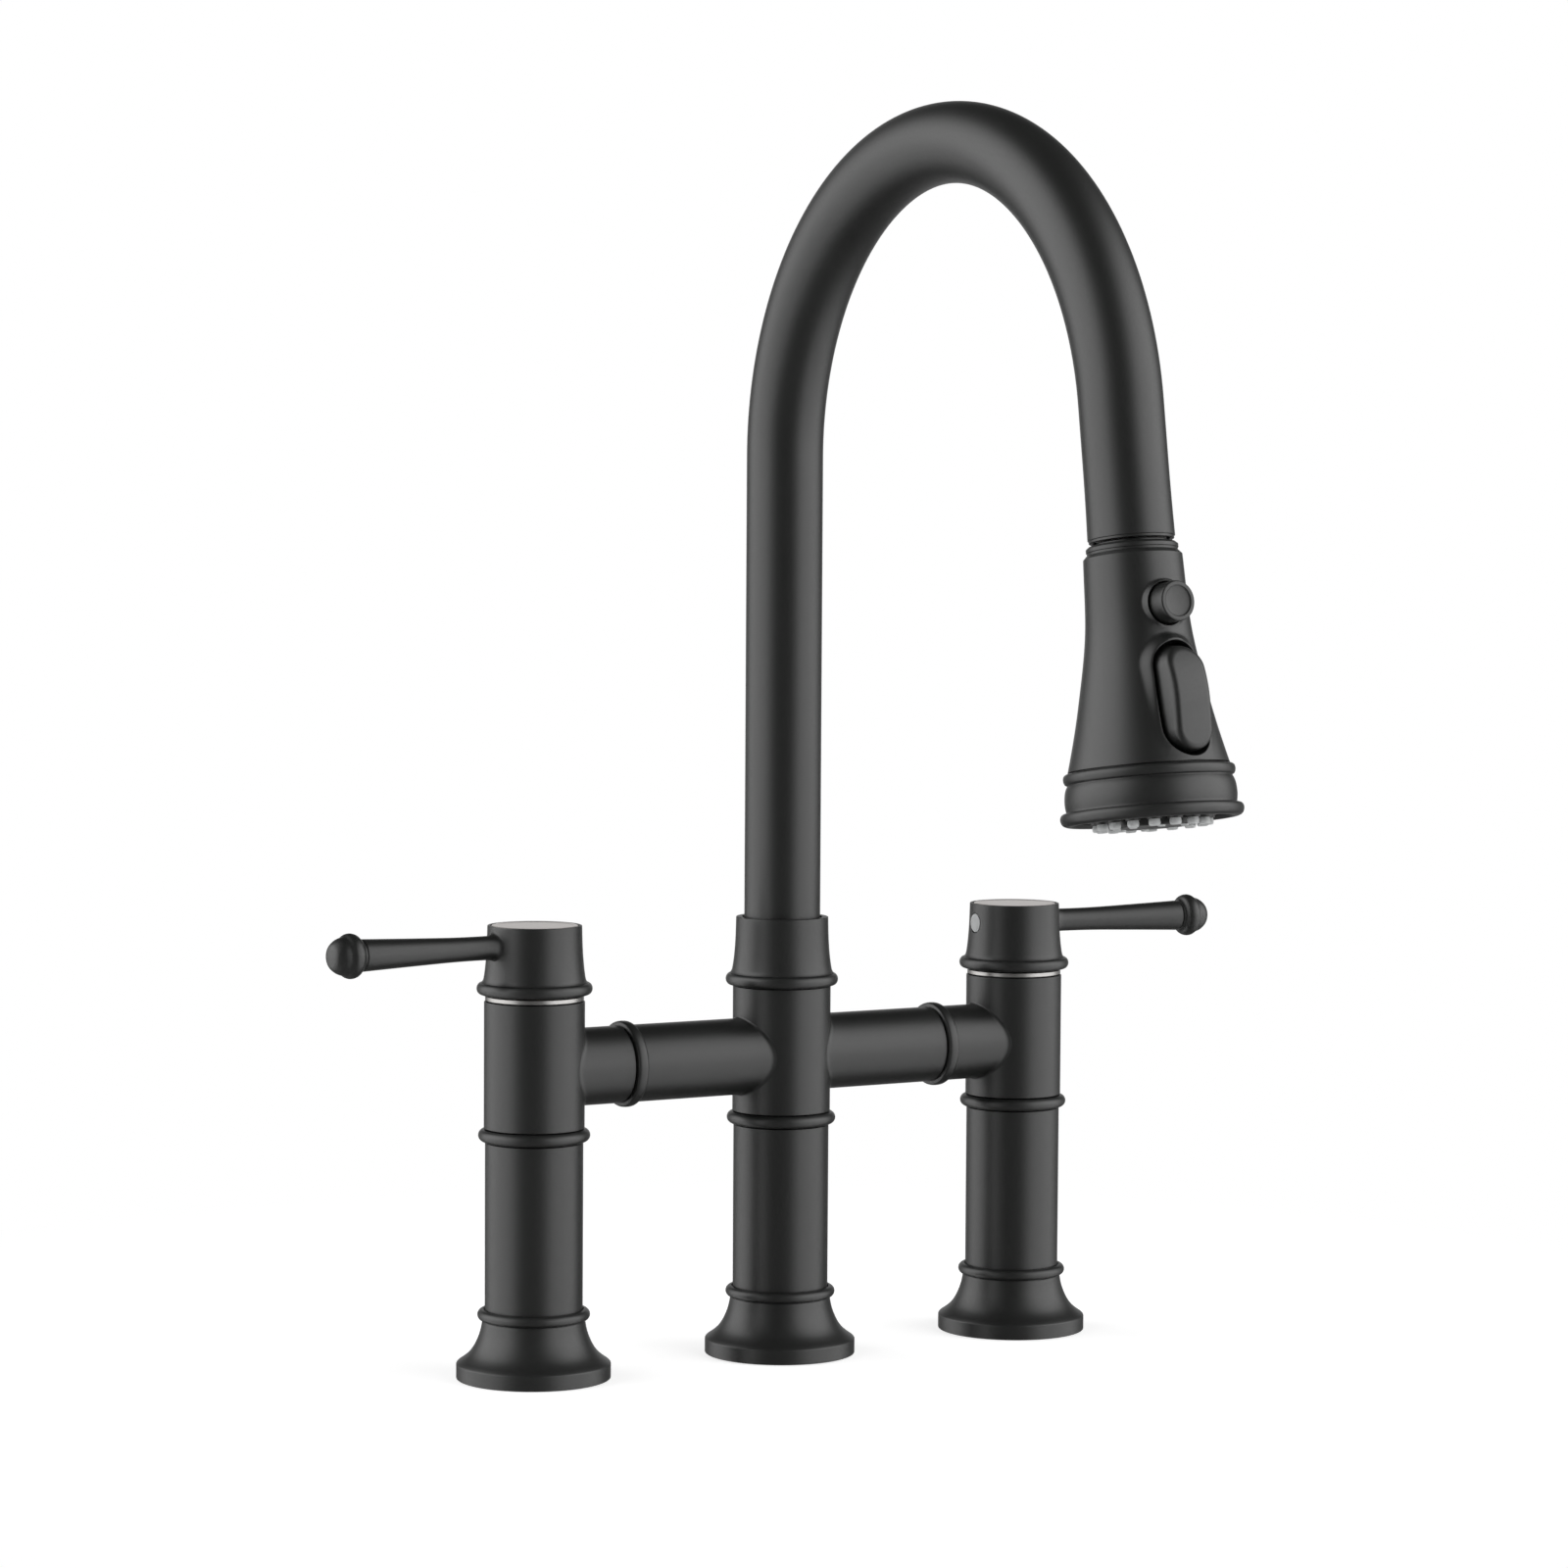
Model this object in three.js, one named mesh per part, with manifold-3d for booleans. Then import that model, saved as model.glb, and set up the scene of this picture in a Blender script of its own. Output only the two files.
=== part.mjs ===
import * as THREE from "three";
import { mergeVertices } from "three/addons/utils/BufferGeometryUtils.js";
import Module from "manifold-3d";

// Bridge kitchen faucet with two lever valves, a swivel gooseneck and a pull-down spray head.
// Millimetres, +Z up. X runs along the bridge, hot valve at -X and cold valve at +X.
// -Y is the side of the person who uses it. The origin is on the deck, under the middle leg.

// Clearances
const FIT = 0.3; // between two pieces that are cut to each other or rest on each other
const TURN_GAP = 0.4; // under a handle hub
const SLIDE_FIT = 0.4; // round the neck of the spray head in its dock
const SWIVEL_FIT = 0.5; // round the spout in its collar, facets included
const PIVOT_FIT = 0.15; // round the rocker's pin, facets included

// Base flanges
const LEG_PITCH = 101.6; // from the middle leg to each valve
const FLANGE_R = 27.4;
const FLANGE_RIM = 5.4;
const FLANGE_NECK_R = 18.1;
const FLANGE_BEAD_R = 19.85;
const FLANGE_BEAD = 4.6; // height of the bead on top
const FLANGE_HEIGHT = 25.0;

// Lower columns
const COLUMN_R = 17.35;
const COLUMN_LENGTH = 58.7; // as it shows above the flange
const SPIGOT_R = 14.3; // inside the base flange
const INLET_R = 10.3; // threaded socket for the supply, from below
const INLET_DEPTH = 18.0;
const WATERWAY_R = 6.0;
const SOCKET_R = 13.0; // socket in the column's top
const SOCKET_DEPTH = 16.0;

// Mid rings and bodies
const RING_R = 19.75;
const RING_HEIGHT = 4.4;
const BODY_R = 17.8;
const BODY_LENGTH = 45.0;
const MIDDLE_EXTRA = 0.7; // the middle body stands this much higher
const BODY_THREAD_WALL = 1.6; // round the collar's thread

// Bridge
const BRIDGE_RISE = 20.6; // axis above the foot of the bodies
const BRIDGE_R = 13.82;
const BRIDGE_WAY_R = 8.0;
const BRIDGE_SPIGOT_R = 10.5;
const BRIDGE_SPIGOT = 10.0; // length inside the tube
const STUB_LENGTH = 33.6; // from the valve axis to the end of its stub
const UNION_R = 15.35;
const UNION_WIDTH = 4.2;

// Valves
const CHAMBER_R = 12.3;
const CHAMBER_WALL = 2.0;
const CHAMBER_SUMP = 3.6; // below the bridge's way
const BONNET_BORE_R = 14.8;
const BONNET_R = 17.5;
const BONNET_LIP = 1.7; // the bright ring that shows
const CARTRIDGE_NECK_R = 8.0;
const CARTRIDGE_BASE = 14.0; // solid foot under the stem
const STEM_R = 4.0;

// Handles
const HUB_R = 16.64;
const HUB_HEIGHT = 24.4;
const HUB_BEAD_R = 20.4;
const HUB_BEAD = 3.8;
const HUB_RIM = 1.1; // round the cap
const HUB_CROWN = 2.4; // above the stem
const SKIRT_BORE_R = 13.6;
const SKIRT_DEPTH = 8.2;
const CAP_DEPTH = 1.5;
const LEVER_DROP = 7.1; // below the top of the hub
const LEVER_TURN = 4.8; // degrees towards the user, at rest
const LEVER_TIP = 82.8; // from the valve axis
const ROD_ROOT_R = 4.6;
const ROD_R = 4.2;
const ROD_END_R = 5.55;
const STUD_R = 3.0;
const STUD_LENGTH = 8.9;
const FINIAL_LENGTH = 11.9;
const FINIAL_BEAD_R = 7.8;
const FINIAL_STUD_R = 2.0;
const FINIAL_STUD = 8.1;
const SETSCREW_R = 2.4;
const PLUG_R = 3.5;
const PLUG_LENGTH = 2.6;

// Spout
const SPOUT_R = 13.8;
const SPOUT_WALL = 1.5;
const SPOUT_RISE = 167.0; // from the top of the collar to the foot of the arch
const ARCH_R = 105.5;
const TILT = 8.5; // degrees between the outlet axis and the vertical
const OUTLET_RUN = 44.9; // straight tube after the arch
const COLLAR_R = 16.75;
const COLLAR_HEIGHT = 24.8;
const COLLAR_BEAD_R = 20.45;
const COLLAR_GAP = 0.8; // that shows round the spout
const COLLAR_SPIGOT = 8.4;
const BUSH_LIP = 1.4; // under the foot of the spout
const HOSE_R = 6.2;
const HOSE_RUN = 6.4; // stretch above the neck of the spray head
const HOSE_WAY_R = 7.6;

// Spray head, measured down the outlet axis from the end of the tube
const NECK_R = 6.6;
const NECK_LENGTH = 14.0;
const NECK_GAP = 0.5; // that shows under the tube
const NECK_COLLAR_R = 11.9; // what shows of the neck in the gap
const NECK_COLLAR = 0.7;
const STEP_R = 14.87;
const STEP_HEIGHT = 2.7;
const STEP_EDGE = 0.9; // rounding of its upper edge
const NECK_THREAD_R = 9.7;
const NECK_THREAD = 10.6;
const NECK_WAY_R = 3.5;
const DOCK_LENGTH = 14.6;
const SHOULDER_R = 16.0;
const SHOULDER = 1.2; // chamfer at the top of the shell
const SHELL_LENGTH = 69.1;
const SHELL_WALL = 2.9;
const MOUTH_R = 25.9;
const SKIRT_R = 24.5; // inside the rim
const SKIRT_LENGTH = 11.5;
const RIM_HEIGHT = 16.9;
const RIM_NECK_R = 26.4;
const UPPER_BEAD_R = 27.46;
const BAND_R = 27.6;
const LOWER_BEAD_R = 29.3;
const BUTTON_DOWN = 22.3;
const BUTTON_R = 6.5;
const BUTTON_GAP = 0.5;
const BUTTON_WALL = 2.0; // of the raised rim round it
const BUTTON_RIM_OUT = 18.6; // from the outlet axis to the rim's face
const BUTTON_OUT = 23.2;
const BUTTON_LENGTH = 9.0;
const ROCKER_DOWN = 54.1;
const ROCKER_LENGTH = 33.4;
const ROCKER_WIDTH = 13.7;
const ROCKER_GAP = 1.9; // round the rocker in its opening
const ROCKER_SHIFT = 1.0; // the opening sits this much higher than the rocker
const ROCKER_RIM = 2.2;
const ROCKER_RIM_TOP = 20.6; // how far the rim stands from the axis, at its upper end
const ROCKER_RIM_FOOT = 25.4;
const ROCKER_OUT = 27.4;
const ROCKER_DEPTH = 13.8;
const ROCKER_EDGE = 1.2; // rounding of its face
const PIN_R = 1.25;
const PIN_OUT = 17.2;
const FACE_THICK = 4.0;
const FACE_BOSS_R = 6.6;
const MAT_INNER_R = 8.7;
const MAT_OUTER_R = 20.3;
const MAT_THICK = 1.4;
const NOZZLES = 16;
const NOZZLE_RING_R = 17.5;
const NOZZLE_R = 1.9;
const INNER_NOZZLE_RING_R = 11.9;
const INNER_NOZZLE_R = 1.5;
const NOZZLE_LENGTH = 3.7;

// Facets
const SIDES = 18;
const SMALL_SIDES = 14;
const TUBE_SIDES = 16;
const SCREW_SIDES = 10;
const NOZZLE_SIDES = 6;
const ARCH_STEPS = 20;
const HOSE_SIDES = 6;
const HOSE_STEPS = 12;
const OVAL_STEPS = 8;

// Heights that follow from the sizes
const COLUMN_TOP = FLANGE_HEIGHT + FIT + COLUMN_LENGTH;
const SOCKET_FLOOR = COLUMN_TOP - SOCKET_DEPTH;
const RING_FOOT = COLUMN_TOP + FIT;
const BODY_FOOT = RING_FOOT + RING_HEIGHT + FIT;
const BODY_TOP = BODY_FOOT + BODY_LENGTH;
const MIDDLE_TOP = BODY_TOP + MIDDLE_EXTRA;
const BRIDGE_Z = BODY_FOOT + BRIDGE_RISE;
const CHAMBER_FLOOR = BRIDGE_Z - BRIDGE_WAY_R - CHAMBER_SUMP;
const CHAMBER_TOP = BRIDGE_Z + BRIDGE_R + 3 * FIT;
const HUB_FOOT = BODY_TOP + FIT + BONNET_LIP + TURN_GAP;
const HUB_TOP = HUB_FOOT + HUB_HEIGHT;
const CAP_FLOOR = HUB_TOP - CAP_DEPTH;
const STEM_TOP = CAP_FLOOR - HUB_CROWN - FIT;
const LEVER_Z = HUB_TOP - LEVER_DROP;
const LEVER_ROOT = HUB_R + 2 * FIT;
const LEVER_PART = LEVER_TIP - FINIAL_LENGTH; // parting line between rod and finial
const PLUG_SEAT = HUB_R + FIT - PLUG_LENGTH;
const COLLAR_FOOT = MIDDLE_TOP + FIT;
const COLLAR_TOP = COLLAR_FOOT + COLLAR_HEIGHT;
const COLLAR_THREAD_R = BODY_R - BODY_THREAD_WALL; // bore in the middle body
const BUSH_SEAT = BRIDGE_Z + BRIDGE_SPIGOT_R + FIT;
const SPOUT_FOOT = BUSH_SEAT + BUSH_LIP + 2 * FIT;
const ARCH_FOOT = COLLAR_TOP + SPOUT_RISE;
const SPOUT_BORE_R = SPOUT_R - SPOUT_WALL;
const STEP_START = NECK_GAP + NECK_COLLAR;
const SHELL_START = STEP_START + STEP_HEIGHT + FIT;
const SHELL_END = SHELL_START + SHELL_LENGTH;
const SKIRT_END = SHELL_END + SKIRT_LENGTH;
const RIM_START = SHELL_END + FIT;
const RIM_END = RIM_START + RIM_HEIGHT;
const RIM_BORE_R = SKIRT_R + FIT;
const FACE_START = SKIRT_END + FIT;
const FACE_END = FACE_START + FACE_THICK;
const MAT_SEAT = FACE_END - MAT_THICK;

const wasm = await Module();
wasm.setup();

const faucet = new THREE.Group();
faucet.name = "bridge_kitchen_faucet";

const rad = THREE.MathUtils.degToRad;
const mix = THREE.MathUtils.lerp;

// A turned piece: [radius, height] pairs that start and end on the axis, or close on themselves
function turned(pairs, sides = SIDES) {
  const points = pairs.map(([r, z]) => new THREE.Vector2(r, z));
  const onAxis = pairs[0][0] === 0 && pairs[pairs.length - 1][0] === 0;
  if (!onAxis) points.push(points[0].clone());
  let area = 0;
  for (let i = 0; i < points.length; i++) {
    const a = points[i];
    const b = points[(i + 1) % points.length];
    area += a.x * b.y - b.x * a.y;
  }
  if (area < 0) points.reverse();
  const geometry = new THREE.LatheGeometry(points, sides);
  geometry.rotateX(Math.PI / 2);
  return geometry;
}

// A plain round bar, or the cutter for a plain round hole
function bar(radius, from, to, sides = SMALL_SIDES) {
  return turned([[0, from], [radius, from], [radius, to], [0, to]], sides);
}

// Stands a turned piece's axis along a direction, its zero at a point
function aimed(geometry, direction, at = new THREE.Vector3()) {
  const turn = new THREE.Quaternion();
  turn.setFromUnitVectors(new THREE.Vector3(0, 0, 1), direction.clone().normalize());
  geometry.applyQuaternion(turn);
  geometry.translate(at.x, at.y, at.z);
  return geometry;
}

function solid(geometry) {
  const plain = geometry.clone();
  plain.deleteAttribute("normal");
  plain.deleteAttribute("uv");
  const merged = mergeVertices(plain, 1e-4);
  return new wasm.Manifold(
    new wasm.Mesh({
      numProp: 3,
      vertProperties: merged.attributes.position.array,
      triVerts: new Uint32Array(merged.index.array),
    }),
  );
}

function unsolid(made) {
  const mesh = made.getMesh();
  const geometry = new THREE.BufferGeometry();
  geometry.setAttribute("position", new THREE.BufferAttribute(mesh.vertProperties, 3));
  geometry.setIndex(new THREE.BufferAttribute(mesh.triVerts, 1));
  return geometry;
}

function join(first, ...others) {
  let made = solid(first);
  for (const other of others) made = made.add(solid(other));
  return unsolid(made);
}

function cut(first, ...others) {
  let made = solid(first);
  for (const other of others) made = made.subtract(solid(other));
  return unsolid(made);
}

function piece(name, geometry, color, roughness, metalness) {
  const material = new THREE.MeshStandardMaterial({ color, roughness, metalness });
  const mesh = new THREE.Mesh(geometry, material);
  mesh.name = name;
  faucet.add(mesh);
}

const black = (name, geometry) => piece(name, geometry, 0x2b2c2c, 0.5, 0.3);
const blackPlastic = (name, geometry) => piece(name, geometry, 0x2e2f2f, 0.55, 0.0);
const chrome = (name, geometry) => piece(name, geometry, 0xc9ccd0, 0.12, 1.0);
const brass = (name, geometry) => piece(name, geometry, 0xb08d4a, 0.35, 1.0);
const steel = (name, geometry) => piece(name, geometry, 0x9a9da1, 0.35, 1.0);
const rubber = (name, geometry) => piece(name, geometry, 0xb4b6b6, 0.7, 0.0);
const nylon = (name, geometry) => piece(name, geometry, 0xd9d9d4, 0.6, 0.0);

// Base flange: a flat rim, a hollow flare and a bead, round the foot of the column
function baseFlange() {
  const flareTop = FLANGE_HEIGHT - FLANGE_BEAD;
  const flare = [[1, 0], [0.92, 0.06], [0.7, 0.2], [0.46, 0.35], [0.23, 0.57], [0.07, 0.81], [0, 1]];
  const outline = flare.map(([out, up]) => [
    mix(FLANGE_NECK_R, FLANGE_R, out),
    mix(FLANGE_RIM, flareTop, up),
  ]);
  return turned([
    [SPIGOT_R + FIT, 0],
    [FLANGE_R, 0],
    ...outline,
    [FLANGE_BEAD_R, flareTop + FLANGE_BEAD * 0.3],
    [FLANGE_BEAD_R, flareTop + FLANGE_BEAD * 0.7],
    [FLANGE_NECK_R, FLANGE_HEIGHT],
    [SPIGOT_R + FIT, FLANGE_HEIGHT],
  ]);
}

// Lower column: spigot in the flange, inlet socket below, socket for the body above
function lowerColumn(way) {
  return turned([
    [SPIGOT_R, FIT],
    [SPIGOT_R, FLANGE_HEIGHT + FIT],
    [COLUMN_R, FLANGE_HEIGHT + FIT],
    [COLUMN_R, COLUMN_TOP],
    [SOCKET_R, COLUMN_TOP],
    [SOCKET_R, SOCKET_FLOOR],
    [way, SOCKET_FLOOR],
    [way, INLET_DEPTH],
    [INLET_R, INLET_DEPTH],
    [INLET_R, FIT],
  ]);
}

// A bead ring: bored through, its face rounded from edge to edge
function beadRing(bore, edge, radius, from, width) {
  const round = [[0, 0], [0.7, 0.15], [1, 0.5], [0.7, 0.85], [0, 1]];
  return turned([
    [bore, from],
    ...round.map(([out, up]) => [mix(edge, radius, out), from + width * up]),
    [bore, from + width],
  ]);
}

const midRing = () => beadRing(SOCKET_R, COLUMN_R, RING_R, RING_FOOT, RING_HEIGHT);

// Valve body: column with a stub towards the bridge, chamber for the cartridge, thread for the bonnet
function valveBody(towards) {
  const column = turned([
    [WATERWAY_R, SOCKET_FLOOR + FIT],
    [SOCKET_R - FIT, SOCKET_FLOOR + FIT],
    [SOCKET_R - FIT, BODY_FOOT],
    [BODY_R, BODY_FOOT],
    [BODY_R, BODY_TOP],
    [BONNET_BORE_R, BODY_TOP],
    [BONNET_BORE_R, CHAMBER_TOP],
    [CHAMBER_R, CHAMBER_TOP],
    [CHAMBER_R, CHAMBER_FLOOR],
    [WATERWAY_R, CHAMBER_FLOOR],
  ]);
  const stubStart = CHAMBER_R + CHAMBER_WALL;
  const stubEnd = STUB_LENGTH + UNION_WIDTH + 2 * FIT + BRIDGE_SPIGOT;
  const stub = turned([
    [0, stubStart],
    [BRIDGE_R, stubStart],
    [BRIDGE_R, STUB_LENGTH],
    [BRIDGE_SPIGOT_R, STUB_LENGTH],
    [BRIDGE_SPIGOT_R, stubEnd],
    [0, stubEnd],
  ]);
  const way = bar(BRIDGE_WAY_R, 0, stubEnd + FIT);
  const axis = new THREE.Vector3(0, 0, BRIDGE_Z);
  return cut(join(column, aimed(stub, towards, axis)), aimed(way, towards, axis));
}

// Union ring where the bridge tube meets the valve's stub
const unionRing = () =>
  beadRing(BRIDGE_SPIGOT_R + FIT, BRIDGE_R, UNION_R, STUB_LENGTH + FIT, UNION_WIDTH);

// Bridge tube, its inner end cut to a saddle round the middle body
function bridgeTube(side) {
  const bore = BRIDGE_SPIGOT_R + FIT;
  const length = LEG_PITCH - STUB_LENGTH - UNION_WIDTH - 2 * FIT;
  const tube = turned([[bore, 0], [BRIDGE_R, 0], [BRIDGE_R, length], [bore, length]]);
  aimed(tube, new THREE.Vector3(side, 0, 0), new THREE.Vector3(0, 0, BRIDGE_Z));
  return cut(tube, bar(BODY_R + FIT, BODY_FOOT, BODY_TOP, SIDES));
}

// Valve cartridge: a fixed shell with a neck that guides the stem
function cartridge() {
  const neckTop = BODY_TOP + FIT + BONNET_LIP + 2 * TURN_GAP;
  const bore = STEM_R + FIT;
  return turned([
    [0, CHAMBER_FLOOR + FIT],
    [CHAMBER_R - FIT, CHAMBER_FLOOR + FIT],
    [CHAMBER_R - FIT, CHAMBER_TOP - FIT],
    [CARTRIDGE_NECK_R, CHAMBER_TOP - FIT],
    [CARTRIDGE_NECK_R, neckTop],
    [bore, neckTop],
    [bore, CHAMBER_FLOOR + CARTRIDGE_BASE],
    [0, CHAMBER_FLOOR + CARTRIDGE_BASE],
  ]);
}

// Bonnet: threaded spigot in the body and the bright lip that shows under the handle
function bonnet() {
  const lipTop = BODY_TOP + FIT + BONNET_LIP;
  return turned([
    [CARTRIDGE_NECK_R + FIT, CHAMBER_TOP + FIT],
    [BONNET_BORE_R - FIT, CHAMBER_TOP + FIT],
    [BONNET_BORE_R - FIT, BODY_TOP + FIT],
    [BONNET_R, BODY_TOP + FIT],
    [BONNET_R, lipTop],
    [CARTRIDGE_NECK_R + FIT, lipTop],
  ]);
}

// Outline shared by the hubs and the collar: a bead at the foot, then a hollow flare up to the top
function beadedFlare(foot, height, bead, beadRadius, topRadius) {
  const beadOutline = [[0.6, 0], [0.92, 0.21], [1, 0.5], [0.92, 0.79], [0.5, 1.18], [0.31, 1.74]];
  const flare = [[0.15, 0.45], [0.04, 0.74], [0, 1]];
  return [
    ...beadOutline.map(([out, up]) => [mix(topRadius, beadRadius, out), foot + bead * up]),
    ...flare.map(([out, up]) => [mix(topRadius, beadRadius, out), foot + height * up]),
  ];
}

// Handle hub: beaded skirt, boss for the stem, seat for the cap, socket for the lever
function handleHub(outward) {
  const bore = STEM_R + FIT;
  const seat = HUB_R - HUB_RIM;
  const shell = turned([
    [0, STEM_TOP + FIT],
    [bore, STEM_TOP + FIT],
    [bore, HUB_FOOT + SKIRT_DEPTH],
    [SKIRT_BORE_R, HUB_FOOT + SKIRT_DEPTH],
    [SKIRT_BORE_R, HUB_FOOT],
    ...beadedFlare(HUB_FOOT, HUB_HEIGHT, HUB_BEAD, HUB_BEAD_R, HUB_R),
    [seat, HUB_TOP],
    [seat, CAP_FLOOR],
    [0, CAP_FLOOR],
  ]);
  const axis = new THREE.Vector3(0, 0, LEVER_Z);
  const inward = outward.clone().negate();
  const socketFloor = LEVER_ROOT - STUD_LENGTH - FIT;
  const socket = bar(STUD_R + FIT, socketFloor, HUB_BEAD_R, SCREW_SIDES);
  const screwHole = bar(SETSCREW_R + FIT, STEM_R / 2, PLUG_SEAT, SCREW_SIDES);
  const plugHole = bar(PLUG_R + FIT, PLUG_SEAT - FIT, HUB_BEAD_R, SCREW_SIDES);
  return cut(
    shell,
    aimed(socket, outward, axis),
    aimed(screwHole, inward, axis),
    aimed(plugHole, inward, axis),
  );
}

// Cap let into the top of the hub
const indexCap = () => bar(HUB_R - HUB_RIM - FIT, CAP_FLOOR + FIT, HUB_TOP, SIDES);

// Lever rod: stud in the hub, small flare at the root, widening outwards, bored for the finial
function leverRod() {
  const length = LEVER_PART - LEVER_ROOT;
  const stud = LEVER_ROOT - STUD_LENGTH;
  const boreFloor = LEVER_PART - FINIAL_STUD - FIT;
  const bore = FINIAL_STUD_R + FIT;
  return turned(
    [
      [0, stud],
      [STUD_R, stud],
      [STUD_R, LEVER_ROOT],
      [ROD_ROOT_R, LEVER_ROOT],
      [ROD_R, LEVER_ROOT + length * 0.05],
      [mix(ROD_R, ROD_END_R, 0.1), LEVER_ROOT + length * 0.25],
      [mix(ROD_R, ROD_END_R, 0.5), LEVER_ROOT + length * 0.6],
      [ROD_END_R, LEVER_PART],
      [bore, LEVER_PART],
      [bore, boreFloor],
      [0, boreFloor],
    ],
    SMALL_SIDES,
  );
}

// Finial: stud, bead and a blunt dome
function leverFinial() {
  const start = LEVER_PART + FIT;
  const length = LEVER_TIP - start;
  const outline = [
    [ROD_END_R / FINIAL_BEAD_R, 0],
    [0.9, 0.07],
    [0.97, 0.16],
    [1, 0.29],
    [0.97, 0.43],
    [0.87, 0.54],
    [0.74, 0.62],
    [0.69, 0.74],
    [0.58, 0.86],
    [0.37, 0.96],
  ];
  return turned(
    [
      [0, LEVER_PART - FINIAL_STUD],
      [FINIAL_STUD_R, LEVER_PART - FINIAL_STUD],
      [FINIAL_STUD_R, start],
      ...outline.map(([out, up]) => [FINIAL_BEAD_R * out, start + length * up]),
      [0, LEVER_TIP],
    ],
    SMALL_SIDES,
  );
}

function valve(side, temperature) {
  const towards = new THREE.Vector3(-side, 0, 0);
  const turn = rad(LEVER_TURN);
  const outward = new THREE.Vector3(side * Math.cos(turn), -Math.sin(turn), 0);
  const inward = outward.clone().negate();
  const foot = new THREE.Vector3(side * LEG_PITCH, 0, 0);
  const leverAt = new THREE.Vector3(side * LEG_PITCH, 0, LEVER_Z);
  const unionAt = new THREE.Vector3(side * LEG_PITCH, 0, BRIDGE_Z);
  const placed = (geometry) => geometry.translate(foot.x, foot.y, foot.z);
  const stem = bar(STEM_R, CHAMBER_FLOOR + CARTRIDGE_BASE + FIT, STEM_TOP, SIDES);
  const screw = bar(SETSCREW_R, STEM_R + FIT, PLUG_SEAT - FIT, SCREW_SIDES);
  const plug = bar(PLUG_R, PLUG_SEAT, PLUG_SEAT + PLUG_LENGTH, SCREW_SIDES);

  black(`${temperature}_base_flange`, placed(baseFlange()));
  black(`${temperature}_lower_column`, placed(lowerColumn(WATERWAY_R)));
  black(`${temperature}_mid_ring`, placed(midRing()));
  black(`${temperature}_valve_body`, placed(valveBody(towards)));
  black(`${temperature}_union_ring`, aimed(unionRing(), towards, unionAt));
  black(`${temperature}_bridge_tube`, bridgeTube(side));
  brass(`${temperature}_cartridge`, placed(cartridge()));
  brass(`${temperature}_stem`, placed(stem));
  chrome(`${temperature}_bonnet`, placed(bonnet()));
  black(`${temperature}_hub`, placed(handleHub(outward)));
  chrome(`${temperature}_index_cap`, placed(indexCap()));
  black(`${temperature}_lever_rod`, aimed(leverRod(), outward, leverAt));
  black(`${temperature}_lever_finial`, aimed(leverFinial(), outward, leverAt));
  steel(`${temperature}_set_screw`, aimed(screw, inward, leverAt));
  rubber(`${temperature}_plug`, aimed(plug, inward, leverAt));
}

valve(-1, "hot");
valve(1, "cold");

// Middle leg
black("spout_base_flange", baseFlange());
black("spout_lower_column", lowerColumn(HOSE_WAY_R));
black("spout_mid_ring", midRing());

// Middle body: column with a spigot each way for the bridge tubes, open from end to end
function middleBody() {
  const column = turned([
    [HOSE_WAY_R, SOCKET_FLOOR + FIT],
    [SOCKET_R - FIT, SOCKET_FLOOR + FIT],
    [SOCKET_R - FIT, BODY_FOOT],
    [BODY_R, BODY_FOOT],
    [BODY_R, MIDDLE_TOP],
    [COLLAR_THREAD_R, MIDDLE_TOP],
    [COLLAR_THREAD_R, BUSH_SEAT],
    [CHAMBER_R, BUSH_SEAT],
    [CHAMBER_R, CHAMBER_FLOOR],
    [HOSE_WAY_R, CHAMBER_FLOOR],
  ]);
  const across = new THREE.Vector3(1, 0, 0);
  const axis = new THREE.Vector3(0, 0, BRIDGE_Z);
  const inner = CHAMBER_R + CHAMBER_WALL;
  const reach = BODY_R + BRIDGE_SPIGOT;
  const left = aimed(bar(BRIDGE_SPIGOT_R, -reach, -inner, SIDES), across, axis);
  const right = aimed(bar(BRIDGE_SPIGOT_R, inner, reach, SIDES), across, axis);
  const way = aimed(bar(BRIDGE_WAY_R, -reach - FIT, reach + FIT), across, axis);
  return cut(join(column, left, right), way);
}
black("spout_body", middleBody());

// Collar screwed into the body round the foot of the spout, flared and beaded like the hubs
function spoutCollar() {
  const guide = SPOUT_R + SWIVEL_FIT;
  const spigotR = COLLAR_THREAD_R - FIT;
  const spigotFoot = MIDDLE_TOP - COLLAR_SPIGOT;
  return turned([
    [guide, spigotFoot],
    [spigotR, spigotFoot],
    [spigotR, COLLAR_FOOT],
    ...beadedFlare(COLLAR_FOOT, COLLAR_HEIGHT, HUB_BEAD, COLLAR_BEAD_R, COLLAR_R),
    [SPOUT_R + COLLAR_GAP, COLLAR_TOP],
    [guide, COLLAR_FOOT + COLLAR_HEIGHT * 0.6],
  ]);
}
black("spout_collar", spoutCollar());

// Bush round and under the foot of the spout
function spoutBush() {
  const outer = COLLAR_THREAD_R - FIT;
  const top = MIDDLE_TOP - COLLAR_SPIGOT - FIT;
  return turned([
    [SPOUT_BORE_R, BUSH_SEAT + FIT],
    [outer, BUSH_SEAT + FIT],
    [outer, top],
    [SPOUT_R + FIT, top],
    [SPOUT_R + FIT, BUSH_SEAT + FIT + BUSH_LIP],
    [SPOUT_BORE_R, BUSH_SEAT + FIT + BUSH_LIP],
  ]);
}
nylon("spout_bush", spoutBush());

// The spout's centre line lies in the plane X = 0: up, over the arch, and down the tilted outlet
const tilt = rad(TILT);
const sweep = Math.PI - tilt;
const down = new THREE.Vector3(0, -Math.sin(tilt), -Math.cos(tilt));
const forward = new THREE.Vector3(0, -Math.cos(tilt), Math.sin(tilt));

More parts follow.
